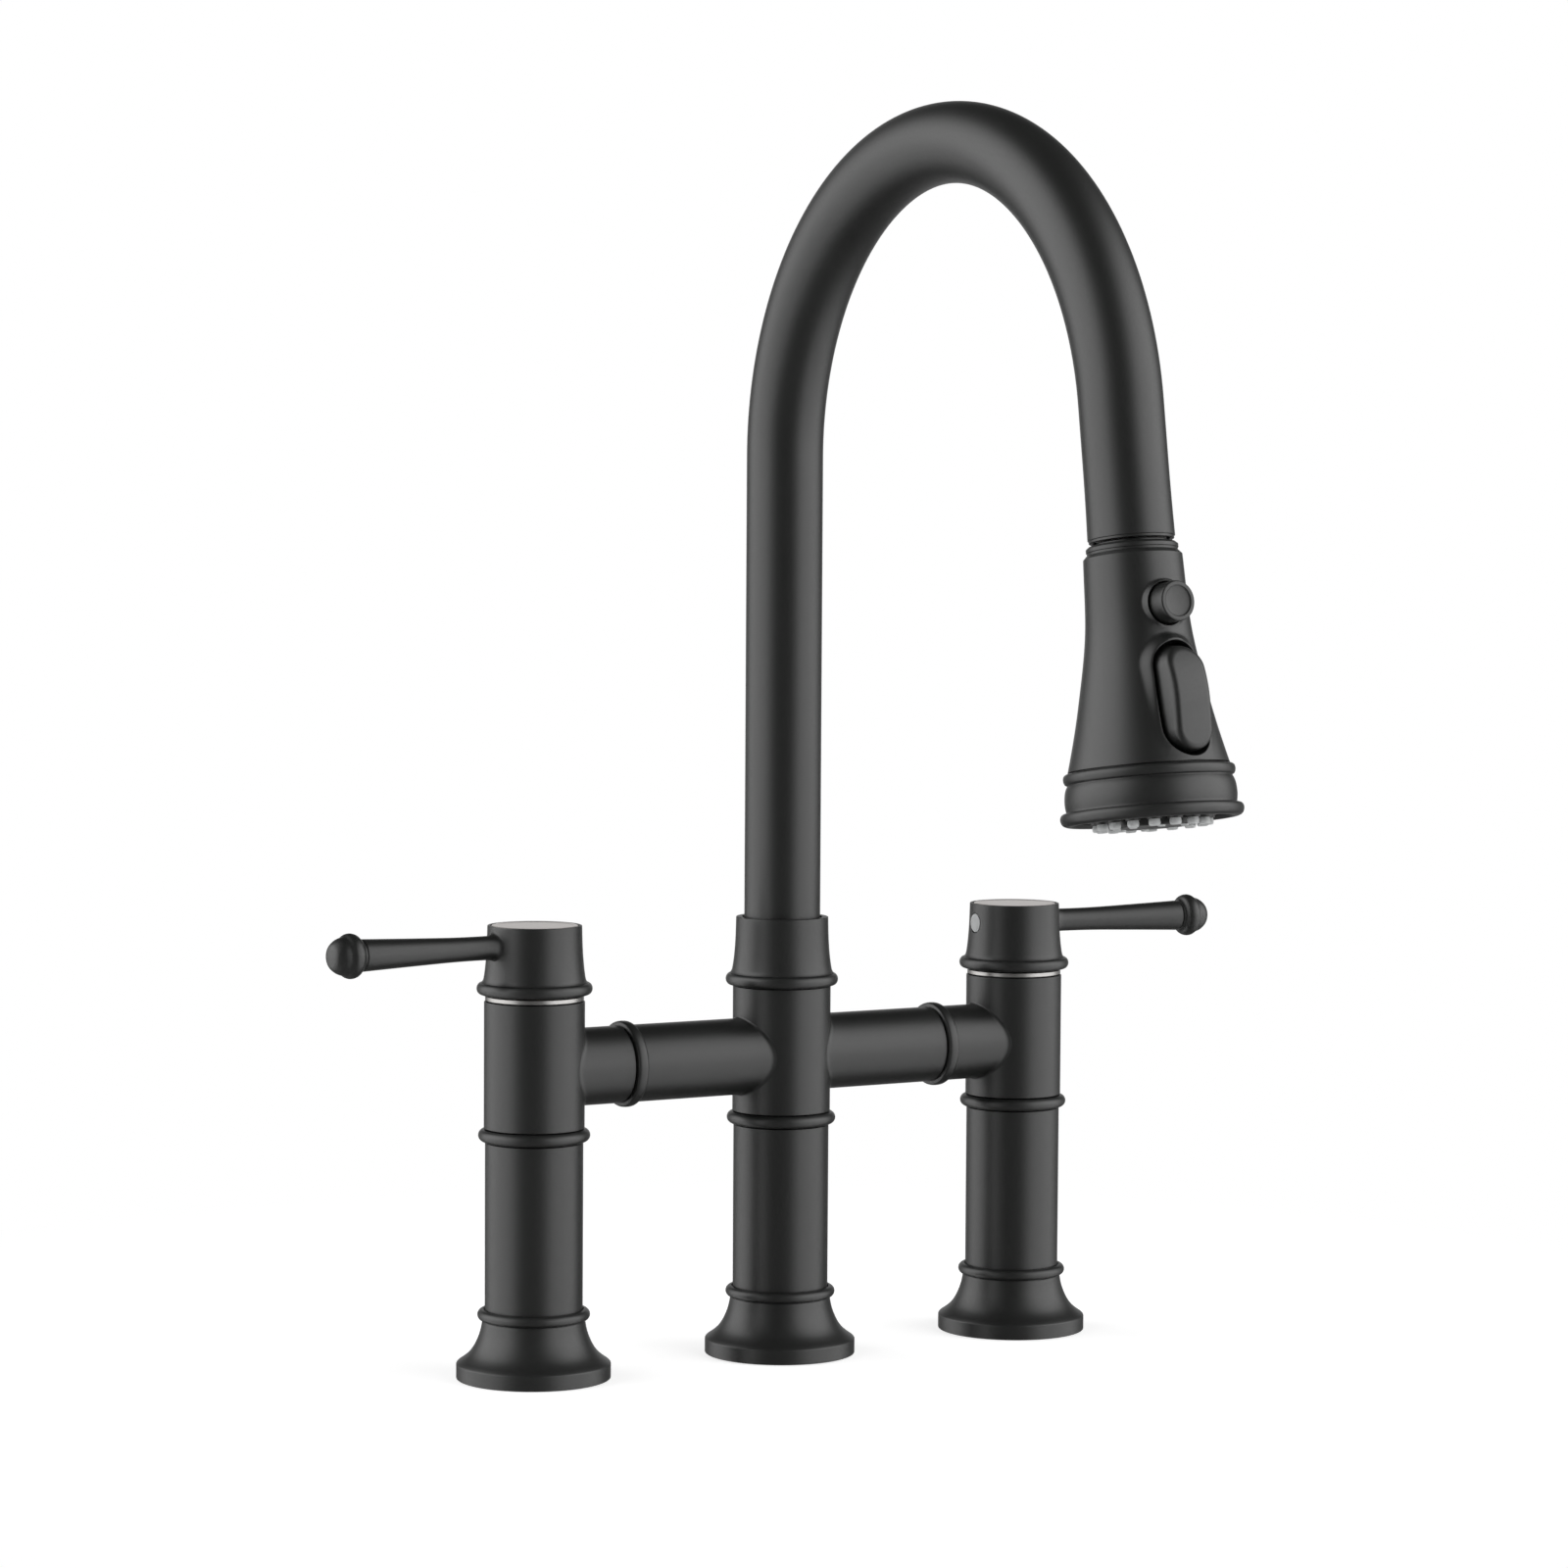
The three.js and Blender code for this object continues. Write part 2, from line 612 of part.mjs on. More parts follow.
function archPoint(angle) {
  const y = -ARCH_R * (1 - Math.cos(angle));
  return new THREE.Vector3(0, y, ARCH_FOOT + ARCH_R * Math.sin(angle));
}

const archTangent = (angle) => new THREE.Vector3(0, -Math.sin(angle), Math.cos(angle));
const tubeEnd = archPoint(sweep).addScaledVector(down, OUTLET_RUN);

// A point of the spray head: so far down the outlet axis, so far out to its front
function onHead(along, out = 0) {
  return tubeEnd.clone().addScaledVector(down, along).addScaledVector(forward, out);
}

// A path through given stations, so that the straight runs take no facets of their own
class StationPath extends THREE.Curve {
  constructor(stations) {
    super();
    this.stations = stations;
  }
  at(u) {
    return this.stations[Math.round(u * (this.stations.length - 1))];
  }
  getPoint(u) {
    return this.at(u).point.clone();
  }
  getPointAt(u) {
    return this.getPoint(u);
  }
  getTangent(u) {
    return this.at(u).tangent.clone();
  }
  getTangentAt(u) {
    return this.getTangent(u);
  }
}

// Stations from a height on the way up to a length past the arch
function spoutStations(foot, past, steps) {
  const stations = [{ point: new THREE.Vector3(0, 0, foot), tangent: archTangent(0) }];
  for (let i = 0; i <= steps; i++) {
    const angle = (sweep * i) / steps;
    stations.push({ point: archPoint(angle), tangent: archTangent(angle) });
  }
  const end = archPoint(sweep).addScaledVector(down, past);
  stations.push({ point: end, tangent: down.clone() });
  return stations;
}

function circle(Kind, radius, sides) {
  const points = [];
  for (let i = 0; i < sides; i++) {
    const angle = (2 * Math.PI * i) / sides;
    points.push(new THREE.Vector2(radius * Math.cos(angle), radius * Math.sin(angle)));
  }
  return new Kind().setFromPoints(points);
}

function swept(stations, shape) {
  return new THREE.ExtrudeGeometry(shape, {
    steps: stations.length - 1,
    bevelEnabled: false,
    extrudePath: new StationPath(stations),
  });
}

// Gooseneck tube
const tubeShape = circle(THREE.Shape, SPOUT_R, TUBE_SIDES);
tubeShape.holes.push(circle(THREE.Path, SPOUT_BORE_R, TUBE_SIDES));
black("spout_tube", swept(spoutStations(SPOUT_FOOT, OUTLET_RUN, ARCH_STEPS), tubeShape));

// Hose that the legs and the spout hold along its whole route, down to the neck of the spray head
const hoseEnd = NECK_LENGTH + FIT + HOSE_RUN + FIT;
const hoseStations = spoutStations(FIT, OUTLET_RUN - hoseEnd, HOSE_STEPS);
rubber("spray_hose", swept(hoseStations, circle(THREE.Shape, HOSE_R, HOSE_SIDES)));

const onOutlet = (geometry) => aimed(geometry, down, onHead(0));

// Last stretch of hose, which lengthens as the head is pulled down
const runStart = -NECK_LENGTH - FIT - HOSE_RUN;
rubber("spray_hose_run", onOutlet(bar(HOSE_R, runStart, -NECK_LENGTH - FIT, HOSE_SIDES)));

// Dock inside the end of the tube: guides the neck of the spray head
function sprayDock() {
  const outer = SPOUT_BORE_R - 1.5 * FIT;
  const bore = NECK_R + SLIDE_FIT;
  const from = -DOCK_LENGTH - FIT;
  return turned([[bore, from], [outer, from], [outer, -FIT], [bore, -FIT]], TUBE_SIDES);
}
nylon("spray_dock", onOutlet(sprayDock()));

// Neck of the spray head: spigot in the dock, step ring under the tube, thread into the shell
function sprayNeck() {
  const threadStart = STEP_START + STEP_HEIGHT;
  return turned([
    [NECK_WAY_R, -NECK_LENGTH],
    [NECK_R, -NECK_LENGTH],
    [NECK_R, NECK_GAP],
    [NECK_COLLAR_R, NECK_GAP],
    [NECK_COLLAR_R, STEP_START],
    [STEP_R - STEP_EDGE, STEP_START],
    [STEP_R, STEP_START + STEP_EDGE],
    [STEP_R, threadStart],
    [NECK_THREAD_R, threadStart],
    [NECK_THREAD_R, threadStart + NECK_THREAD],
    [NECK_WAY_R, threadStart + NECK_THREAD],
  ]);
}
blackPlastic("spray_neck", onOutlet(sprayNeck()));

// A long oval prism across the outlet axis, standing from one distance out to another
function oval(length, width, from, to) {
  const half = (length - width) / 2;
  const points = [];
  for (let end = 0; end < 2; end++) {
    for (let i = 0; i <= OVAL_STEPS; i++) {
      const angle = Math.PI * end + (Math.PI * i) / OVAL_STEPS;
      const x = (width / 2) * Math.cos(angle);
      const y = (width / 2) * Math.sin(angle) + (end === 0 ? half : -half);
      points.push(new THREE.Vector2(x, y));
    }
  }
  const shape = new THREE.Shape(points);
  const geometry = new THREE.ExtrudeGeometry(shape, { depth: to - from, bevelEnabled: false });
  geometry.translate(0, 0, from);
  return geometry;
}

// Gives an oval prism a far face that slopes from its upper end to its lower end
function slopedOval(length, width, from, atTop, atFoot) {
  const geometry = oval(length, width, from, atTop);
  const position = geometry.getAttribute("position");
  for (let i = 0; i < position.count; i++) {
    if (position.getZ(i) < (from + atTop) / 2) continue;
    position.setZ(i, mix(atTop, atFoot, 0.5 - position.getY(i) / length));
  }
  return geometry;
}

// Stands a shape drawn in X and Y on the front of the head: Y up the outlet axis, Z outwards
function onFront(geometry, along) {
  const up = down.clone().negate();
  const right = new THREE.Vector3().crossVectors(up, forward);
  geometry.applyMatrix4(new THREE.Matrix4().makeBasis(right, up, forward));
  const at = onHead(along);
  geometry.translate(at.x, at.y, at.z);
  return geometry;
}

const across = new THREE.Vector3(1, 0, 0);
const openingLength = ROCKER_LENGTH + 2 * ROCKER_GAP;
const openingWidth = ROCKER_WIDTH + 2 * ROCKER_GAP;
const openingDown = ROCKER_DOWN - ROCKER_SHIFT;
const ovalRimWidth = openingWidth + 2 * ROCKER_RIM;
const pinHalf = ovalRimWidth / 2 - 2 * FIT;

// Shell of the spray head: a hollow bell with a raised round rim and a raised oval rim on its front,
// cut through for the button and the rocker
function sprayShell() {
  const bell = [[0, 0], [0.21, 0.07], [0.35, 0.12], [0.48, 0.25], [0.62, 0.42], [0.76, 0.62], [0.9, 0.84]];
  const shoulder = SHELL_START + SHOULDER;
  const bellOutline = [...bell, [1, 1]].map(([along, out]) => [
    mix(SHOULDER_R, MOUTH_R, out),
    mix(shoulder, SHELL_END, along),
  ]);
  const outer = turned([
    [0, SHELL_START],
    [SHOULDER_R - SHOULDER, SHELL_START],
    ...bellOutline,
    [SKIRT_R, SHELL_END],
    [SKIRT_R, SKIRT_END],
    [0, SKIRT_END],
  ]);
  const threadEnd = STEP_START + STEP_HEIGHT + NECK_THREAD + FIT;
  const innerOutline = bellOutline.filter(([, along]) => along > threadEnd + SHELL_WALL);
  const inner = turned([
    [0, 0],
    [NECK_THREAD_R + FIT, 0],
    [NECK_THREAD_R + FIT, threadEnd],
    ...innerOutline.map(([radius, along]) => [Math.min(radius, SKIRT_R) - SHELL_WALL, along]),
    [SKIRT_R - SHELL_WALL, RIM_END],
    [0, RIM_END],
  ]);
  const ovalRim = slopedOval(
    openingLength + 2 * ROCKER_RIM,
    ovalRimWidth,
    NECK_R,
    ROCKER_RIM_TOP,
    ROCKER_RIM_FOOT,
  );
  const ovalHole = oval(openingLength, openingWidth, NECK_R, 2 * ROCKER_OUT);
  const buttonHoleR = BUTTON_R + BUTTON_GAP;
  const roundRim = bar(buttonHoleR + BUTTON_WALL, NECK_R, BUTTON_RIM_OUT);
  const roundHole = bar(buttonHoleR, NECK_R - FIT, 2 * BUTTON_OUT);
  const pinHole = bar(PIN_R + PIVOT_FIT, -pinHalf - FIT, pinHalf + FIT, SCREW_SIDES);
  const pastFoot = turned([
    [SKIRT_R, SHELL_END],
    [2 * SKIRT_R, SHELL_END],
    [2 * SKIRT_R, RIM_END],
    [SKIRT_R, RIM_END],
  ]);
  return cut(
    join(onOutlet(outer), onFront(ovalRim, openingDown), onFront(roundRim, BUTTON_DOWN)),
    onOutlet(inner),
    onOutlet(pastFoot),
    onFront(ovalHole, openingDown),
    onFront(roundHole, BUTTON_DOWN),
    aimed(pinHole, across, onHead(ROCKER_DOWN, PIN_OUT)),
  );
}
blackPlastic("spray_shell", sprayShell());

// Rim of the spray head: upper bead, slightly bulged band, larger lower bead
function sprayRim() {
  const lip = RIM_BORE_R + 4 * FIT;
  const outline = [
    [RIM_NECK_R, 0],
    [UPPER_BEAD_R, 0.07],
    [UPPER_BEAD_R, 0.16],
    [RIM_NECK_R, 0.23],
    [BAND_R - FIT, 0.3],
    [BAND_R, 0.5],
    [BAND_R - FIT, 0.74],
    [mix(BAND_R, LOWER_BEAD_R, 0.5), 0.78],
    [LOWER_BEAD_R, 0.84],
    [LOWER_BEAD_R, 0.93],
    [mix(BAND_R, LOWER_BEAD_R, 0.5), 1],
    [lip, 1],
    [RIM_BORE_R, 0.94],
  ];
  return turned([
    [RIM_BORE_R, RIM_START],
    ...outline.map(([radius, along]) => [radius, RIM_START + RIM_HEIGHT * along]),
  ]);
}
blackPlastic("spray_rim", onOutlet(sprayRim()));

// Face plate with a groove for the nozzle mat and a boss in the middle
function sprayFace() {
  const outer = RIM_BORE_R - FIT;
  const groove = MAT_SEAT - FIT;
  return turned([
    [0, FACE_START],
    [outer, FACE_START],
    [outer, FACE_END],
    [MAT_OUTER_R + FIT, FACE_END],
    [MAT_OUTER_R + FIT, groove],
    [MAT_INNER_R - FIT, groove],
    [MAT_INNER_R - FIT, mix(FACE_END, RIM_END, 0.6)],
    [FACE_BOSS_R, RIM_END],
    [0, RIM_END],
  ]);
}
blackPlastic("spray_face", onOutlet(sprayFace()));

// Nozzle mat: one soft ring with an outer and an inner round of nozzles moulded on it
function nozzleMat() {
  const matEnd = MAT_SEAT + MAT_THICK;
  const mat = turned([
    [MAT_INNER_R, MAT_SEAT],
    [MAT_OUTER_R, MAT_SEAT],
    [MAT_OUTER_R, matEnd],
    [MAT_INNER_R, matEnd],
  ]);
  const rounds = [
    { count: NOZZLES, at: NOZZLE_RING_R, radius: NOZZLE_R },
    { count: NOZZLES / 2, at: INNER_NOZZLE_RING_R, radius: INNER_NOZZLE_R },
  ];
  const nozzles = [];
  for (const round of rounds) {
    for (let i = 0; i < round.count; i++) {
      const angle = (2 * Math.PI * (i + 0.5)) / round.count;
      const foot = matEnd - MAT_THICK / 2;
      const tip = matEnd + NOZZLE_LENGTH;
      const outline = [[0, foot], [round.radius, foot], [round.radius * 0.85, tip], [0, tip]];
      const nozzle = turned(outline, NOZZLE_SIDES);
      nozzle.translate(round.at * Math.cos(angle), round.at * Math.sin(angle), 0);
      nozzles.push(nozzle);
    }
  }
  return join(mat, ...nozzles);
}
rubber("spray_nozzles", onOutlet(nozzleMat()));

// Button with a dished face
function button() {
  const edge = BUTTON_R / 9;
  return turned(
    [
      [0, BUTTON_OUT - BUTTON_LENGTH],
      [BUTTON_R, BUTTON_OUT - BUTTON_LENGTH],
      [BUTTON_R, BUTTON_OUT - edge],
      [BUTTON_R - edge, BUTTON_OUT],
      [BUTTON_R - 2 * edge, BUTTON_OUT],
      [0, BUTTON_OUT - edge],
    ],
    SMALL_SIDES,
  );
}
blackPlastic("spray_button", onFront(button(), BUTTON_DOWN));

// Rocker: a long oval with its face rounded over, bored across for its pin
function rocker() {
  const from = ROCKER_OUT - ROCKER_DEPTH;
  const shoulder = ROCKER_OUT - ROCKER_EDGE;
  const block = oval(ROCKER_LENGTH, ROCKER_WIDTH, from, shoulder);
  const faceLength = ROCKER_LENGTH - 2 * ROCKER_EDGE;
  const faceWidth = ROCKER_WIDTH - 2 * ROCKER_EDGE;
  const face = oval(faceLength, faceWidth, shoulder - ROCKER_EDGE, ROCKER_OUT);
  const bore = bar(PIN_R + PIVOT_FIT, -ovalRimWidth, ovalRimWidth, SCREW_SIDES);
  return cut(
    join(onFront(block, ROCKER_DOWN), onFront(face, ROCKER_DOWN)),
    aimed(bore, across, onHead(ROCKER_DOWN, PIN_OUT)),
  );
}
blackPlastic("spray_rocker", rocker());

// Pin that the rocker turns on, held in the walls of the oval rim
const pin = bar(PIN_R, -pinHalf, pinHalf, SCREW_SIDES);
steel("spray_pin", aimed(pin, across, onHead(ROCKER_DOWN, PIN_OUT)));

export default faucet;
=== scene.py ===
import math

import bmesh
import bpy
from bmesh.types import BMEdge, BMVert
from mathutils import Matrix, Vector


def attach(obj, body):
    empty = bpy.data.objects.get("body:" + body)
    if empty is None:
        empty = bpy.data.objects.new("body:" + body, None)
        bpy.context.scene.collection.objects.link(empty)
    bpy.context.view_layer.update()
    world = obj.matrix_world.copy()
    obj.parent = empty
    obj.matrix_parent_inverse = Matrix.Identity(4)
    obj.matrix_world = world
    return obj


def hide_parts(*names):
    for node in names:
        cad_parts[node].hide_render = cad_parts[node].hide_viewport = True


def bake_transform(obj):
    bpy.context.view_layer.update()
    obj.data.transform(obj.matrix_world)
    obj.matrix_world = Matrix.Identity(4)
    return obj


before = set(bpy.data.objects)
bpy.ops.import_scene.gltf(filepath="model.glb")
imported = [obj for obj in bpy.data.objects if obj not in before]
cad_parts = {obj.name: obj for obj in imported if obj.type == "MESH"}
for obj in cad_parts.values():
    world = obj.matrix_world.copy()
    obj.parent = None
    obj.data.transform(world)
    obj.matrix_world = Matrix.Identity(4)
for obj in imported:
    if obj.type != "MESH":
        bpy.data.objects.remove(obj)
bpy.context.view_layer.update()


# The studio camera. It stands 1.6 m from the faucet, 31 degrees to the left of its front and a little above
# it, with a 104 mm lens on a 36 mm frame, which is the view of the photograph.
camera_place = (-0.842065, -1.404038, 0.305804)
camera_turn, camera_dip, camera_roll = 30.9655, 3.4189, 0.34874
camera_data = bpy.data.cameras.new("studio_camera")
camera_data.sensor_width = 36.0
camera_data.lens = 103.683
camera_data.clip_start = 0.05
camera_data.clip_end = 50.0
camera = bpy.data.objects.new("studio_camera", camera_data)
bpy.context.scene.collection.objects.link(camera)
camera.matrix_world = (
    Matrix.Translation(camera_place)
    @ Matrix.Rotation(math.radians(-camera_turn), 4, "Z")
    @ Matrix.Rotation(math.radians(90 - camera_dip), 4, "X")
    @ Matrix.Rotation(math.radians(camera_roll), 4, "Z")
)
bpy.context.scene.camera = camera
bpy.context.scene.view_settings.view_transform = "Standard"


# The studio light, all of it on the world: a big soft screen on either side of the faucet, a white wall
# behind it, and little from the front, which gives every tube the dark stripe down its middle.
def linear(code):
    """An sRGB hex colour as linear RGBA."""
    parts = [int(code[i : i + 2], 16) / 255 for i in (1, 3, 5)]
    return (*[p / 12.92 if p <= 0.04045 else ((p + 0.055) / 1.055) ** 2.4 for p in parts], 1.0)


def add(tree, kind, inputs=None, **settings):
    """Adds a node with its settings; an input is a value or the socket it is linked from."""
    node = tree.nodes.new(kind)
    for name, value in settings.items():
        setattr(node, name, value)
    for name, value in (inputs or {}).items():
        if isinstance(value, bpy.types.NodeSocket):
            tree.links.new(value, node.inputs[name])
        else:
            node.inputs[name].default_value = value
    return node


world = bpy.data.worlds.new("studio_backdrop")
bpy.context.scene.world = world
world.use_nodes = True
air = world.node_tree
air.nodes.clear()
path = add(air, "ShaderNodeLightPath")
facing = add(air, "ShaderNodeTexCoord").outputs["Generated"]
left_screen = (-0.8784, 0.4198, 0.23)
right_screen = (0.7123, -0.6633, 0.23)
back_wall = (0.5145, 0.8575, 0.0)
left, right, behind = [
    add(air, "ShaderNodeVectorMath", {0: facing, 1: towards}, operation="DOT_PRODUCT").outputs["Value"]
    for towards in (left_screen, right_screen, back_wall)
]
either = add(air, "ShaderNodeMath", {0: left, 1: right}, operation="MAXIMUM")
screens = add(
    air,
    "ShaderNodeMapRange",
    {"Value": either.outputs[0], "From Min": 0.57, "From Max": 0.92, "To Min": 0.05, "To Max": 2.55},
    interpolation_type="SMOOTHSTEP",
)
wall = add(
    air,
    "ShaderNodeMapRange",
    {"Value": behind, "From Min": 0.88, "From Max": 0.95, "To Max": 0.8},
    interpolation_type="SMOOTHSTEP",
)
seen = add(
    air,
    "ShaderNodeMath",
    {0: path.outputs["Is Camera Ray"], 1: path.outputs["Is Transmission Ray"]},
    operation="MAXIMUM",
)
white = add(air, "ShaderNodeMath", {0: seen.outputs[0], 1: wall.outputs[0]}, operation="MAXIMUM")
strength = add(air, "ShaderNodeMix", {0: white.outputs[0], 2: screens.outputs[0], 3: 1.0}, data_type="FLOAT")
sky = add(air, "ShaderNodeBackground", {"Color": linear("#ffffff"), "Strength": strength.outputs[0]})
add(air, "ShaderNodeOutputWorld", {"Surface": sky.outputs[0]})


# The floor is a sheet of glossy white board that fades into the backdrop. It keeps the soft shadow of the
# flanges, and its gloss throws the screens' light up at the legs.
def blank(name):
    """A new material with an empty tree, and the coordinates in which its patterns are drawn."""
    finish = bpy.data.materials.new(name)
    finish.use_nodes = True
    tree = finish.node_tree
    tree.nodes.clear()
    return finish, tree, add(tree, "ShaderNodeTexCoord").outputs["Object"]


paper, tree, place = blank("white_board")
path = add(tree, "ShaderNodeLightPath")
from_middle = add(tree, "ShaderNodeVectorMath", {0: place}, operation="LENGTH")
fade_start, fade_end = 0.14, 0.42
fade = add(
    tree,
    "ShaderNodeMapRange",
    {"Value": from_middle.outputs["Value"], "From Min": fade_start, "From Max": fade_end},
    interpolation_type="SMOOTHSTEP",
)
lit = add(tree, "ShaderNodeBsdfDiffuse", {"Color": linear("#d8d8d8")})
lift = add(tree, "ShaderNodeEmission", {"Color": linear("#ffffff"), "Strength": 0.66})
near = add(tree, "ShaderNodeAddShader", {0: lit.outputs[0], 1: lift.outputs[0]})
far = add(tree, "ShaderNodeEmission", {"Color": linear("#ffffff"), "Strength": 1.0})
shown = add(tree, "ShaderNodeMixShader", {0: fade.outputs[0], 1: near.outputs[0], 2: far.outputs[0]})
matt = add(tree, "ShaderNodeBsdfDiffuse", {"Color": linear("#e6e6e6")})
gloss = add(tree, "ShaderNodeBsdfGlossy", {"Color": linear("#f2f2f2"), "Roughness": 0.3})
sheet_light = add(tree, "ShaderNodeMixShader", {0: 0.85, 1: matt.outputs[0], 2: gloss.outputs[0]})
both = add(
    tree,
    "ShaderNodeMixShader",
    {0: path.outputs["Is Camera Ray"], 1: sheet_light.outputs[0], 2: shown.outputs[0]},
)
add(tree, "ShaderNodeOutputMaterial", {"Surface": both.outputs[0]})

board_radius, board_top = 3.0, -0.0002
sheet = bmesh.new()
bmesh.ops.create_circle(
    sheet, cap_ends=True, segments=64, radius=board_radius, matrix=Matrix.Translation((0, 0, board_top))
)
floor_data = bpy.data.meshes.new("paper_floor")
sheet.to_mesh(floor_data)
sheet.free()
floor_data.materials.append(paper)
floor = bpy.data.objects.new("paper_floor", floor_data)
bpy.context.scene.collection.objects.link(floor)


# Base flanges: three brass castings turned to a flared skirt under a round bead, in baked black lacquer.
# Each is drawn down on the deck by a shank and takes the foot of its column in a shallow recess.
def rounded(corners, steps=6):
    """A line of points in mm from corners (radius, height) or (radius, height, rounding). A rounding takes
    at most 0.48 of an edge, and a point just past it keeps the flat beside it from shading round."""
    most, past = 0.48, 0.15
    points = []
    for i, corner in enumerate(corners):
        here = Vector(corner[:2])
        if len(corner) < 3 or i in (0, len(corners) - 1):
            points.append(here)
            continue
        back, on = Vector(corners[i - 1][:2]) - here, Vector(corners[i + 1][:2]) - here
        half = back.angle(on) / 2
        cut = min(corner[2] / math.tan(half), most * back.length, most * on.length)
        middle = here + (back.normalized() + on.normalized()).normalized() * (cut / math.cos(half))
        start, end = here + back.normalized() * cut - middle, here + on.normalized() * cut - middle
        if back.length - cut > 0.5:
            points.append(here + back.normalized() * (cut + past))
        turn = start.angle_signed(end)
        for k in range(steps + 1):
            points.append(middle + Matrix.Rotation(-turn * (k / steps), 2) @ start)
        if on.length - cut > 0.5:
            points.append(here + on.normalized() * (cut + past))
    return [tuple(p) for p in points]


def flowing(points, steps=5):
    """A smooth curve in mm that starts and ends at the first and last point and leans on the others."""
    points = [Vector(p) for p in points]
    curve = [points[0]]
    for i in range(1, len(points) - 1):
        start = points[0] if i == 1 else (points[i - 1] + points[i]) / 2
        end = points[-1] if i == len(points) - 2 else (points[i] + points[i + 1]) / 2
        for k in range(1, steps + 1):
            t = k / steps
            curve.append(start * (1 - t) ** 2 + points[i] * 2 * t * (1 - t) + end * t * t)
    return [tuple(p) for p in curve]


def bead(root, reach, foot, top, steps=16):
    """Half an ellipse in mm: from (root, foot) out to reach and back in to (root, top)."""
    middle, half = (foot + top) / 2, (top - foot) / 2
    turns = [math.pi * k / steps for k in range(steps + 1)]
    return [(root + (reach - root) * math.sin(turn), middle - half * math.cos(turn)) for turn in turns]


def turned(outline, closed=True, steps=96):
    """Spins a line of (radius, height) points in mm round Z, as a lathe would."""
    mesh = bmesh.new()
    line = [mesh.verts.new((r / 1000, 0, z / 1000)) for r, z in outline]
    pairs = list(zip(line, line[1:])) + ([(line[-1], line[0])] if closed else [])
    edges = [mesh.edges.new(pair) for pair in pairs]
    bmesh.ops.spin(
        mesh,
        geom=line + edges,
        cent=(0, 0, 0),
        axis=(0, 0, 1),
        angle=2 * math.pi,
        steps=steps,
        use_merge=True,
    )
    bmesh.ops.remove_doubles(mesh, verts=mesh.verts, dist=1e-7)
    bmesh.ops.recalc_face_normals(mesh, faces=mesh.faces)
    return mesh


def finished(mesh, name, finish, where):
    """Makes an object of a mesh, smooth but for its sharp edges, with its place in the mesh."""
    bmesh.ops.transform(mesh, matrix=where, verts=mesh.verts)
    data = bpy.data.meshes.new(name)
    mesh.to_mesh(data)
    mesh.free()
    data.polygons.foreach_set("use_smooth", [True] * len(data.polygons))
    data.set_sharp_from_angle(angle=math.radians(40))
    data.materials.append(finish)
    piece = bpy.data.objects.new(name, data)
    bpy.context.scene.collection.objects.link(piece)
    return piece


def placed(mesh, name, finish, body, nodes, where=Matrix.Identity(4)):
    """Makes a finished piece of a mesh, hangs it on the body it rides on, and hides the CAD nodes it stands
    for.
    """
    piece = finished(mesh, name, finish, where)
    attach(piece, body)
    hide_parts(*nodes)


hole_pitch = 203.2
legs = {"hot": -hole_pitch / 2, "spout": 0.0, "cold": hole_pitch / 2}


def upright(leg):
    """Stands a piece on the axis of a leg."""
    return Matrix.Translation((legs[leg] / 1000, 0, 0))


def sprayed(name, peel_size, cloud_size, deep, pale, relief, height):
    """A black coat, sprayed on, in two near tones. It has a satin sheen that goes soft at the edges of a
    highlight, and a fine orange peel. The peel is really 0.3 mm and is drawn coarser, so that it shows."""
    finish, tree, place = blank(name)
    peel = add(tree, "ShaderNodeTexNoise", {"Vector": place, "Scale": 1 / peel_size, "Detail": 3.0})
    cloud = add(tree, "ShaderNodeTexNoise", {"Vector": place, "Scale": 1 / cloud_size, "Detail": 2.0})
    tones = {0: cloud.outputs[0], 6: linear(deep), 7: linear(pale)}
    tone = add(tree, "ShaderNodeMix", tones, data_type="RGBA")
    dull = add(
        tree,
        "ShaderNodeMapRange",
        {"Value": peel.outputs[0], "From Min": 0.3, "From Max": 0.7, "To Min": 0.39, "To Max": 0.45},
    )
    bumps = add(tree, "ShaderNodeBump", {"Height": peel.outputs[0], "Strength": relief, "Distance": height})
    skin = add(
        tree,
        "ShaderNodeBsdfPrincipled",
        {
            "Base Color": tone.outputs[2],
            "Roughness": dull.outputs[0],
            "Normal": bumps.outputs[0],
            "IOR": 1.58,
        },
    )
    add(tree, "ShaderNodeOutputMaterial", {"Surface": skin.outputs[0]})
    return finish


# The lacquer is sprayed on polished brass and baked.
lacquer = sprayed(
    "baked_matte_black_lacquer",
    peel_size=0.0008,
    cloud_size=0.022,
    deep="#141514",
    pale="#1a1b1a",
    relief=0.25,
    height=0.00004,
)

# Pieces that meet are 0.3 mm apart. A column's foot is a little narrower than the recess of its flange.
gap = 0.3
foot_radius, recess_floor = 14.3, 23.5
for leg in legs:
    flange = turned(
        rounded(
            [
                (foot_radius + gap, 0.0),
                (27.4, 0.0, 0.35),
                (27.4, 5.3, 0.7),
                *flowing([(26.8, 5.9), (24.0, 7.7), (21.5, 10.6), (19.7, 14.3), (18.6, 17.8), (18.2, 20.6)]),
                *bead(18.1, 19.95, 20.75, 24.6),
                (17.75, 24.65),
                (17.75, recess_floor),
                (foot_radius + gap, recess_floor),
            ]
        )
    )
    placed(
        flange, f"{leg}_flange_casting", lacquer, "fixture", [f"{leg}_base_flange"],
        upright(leg),
    )


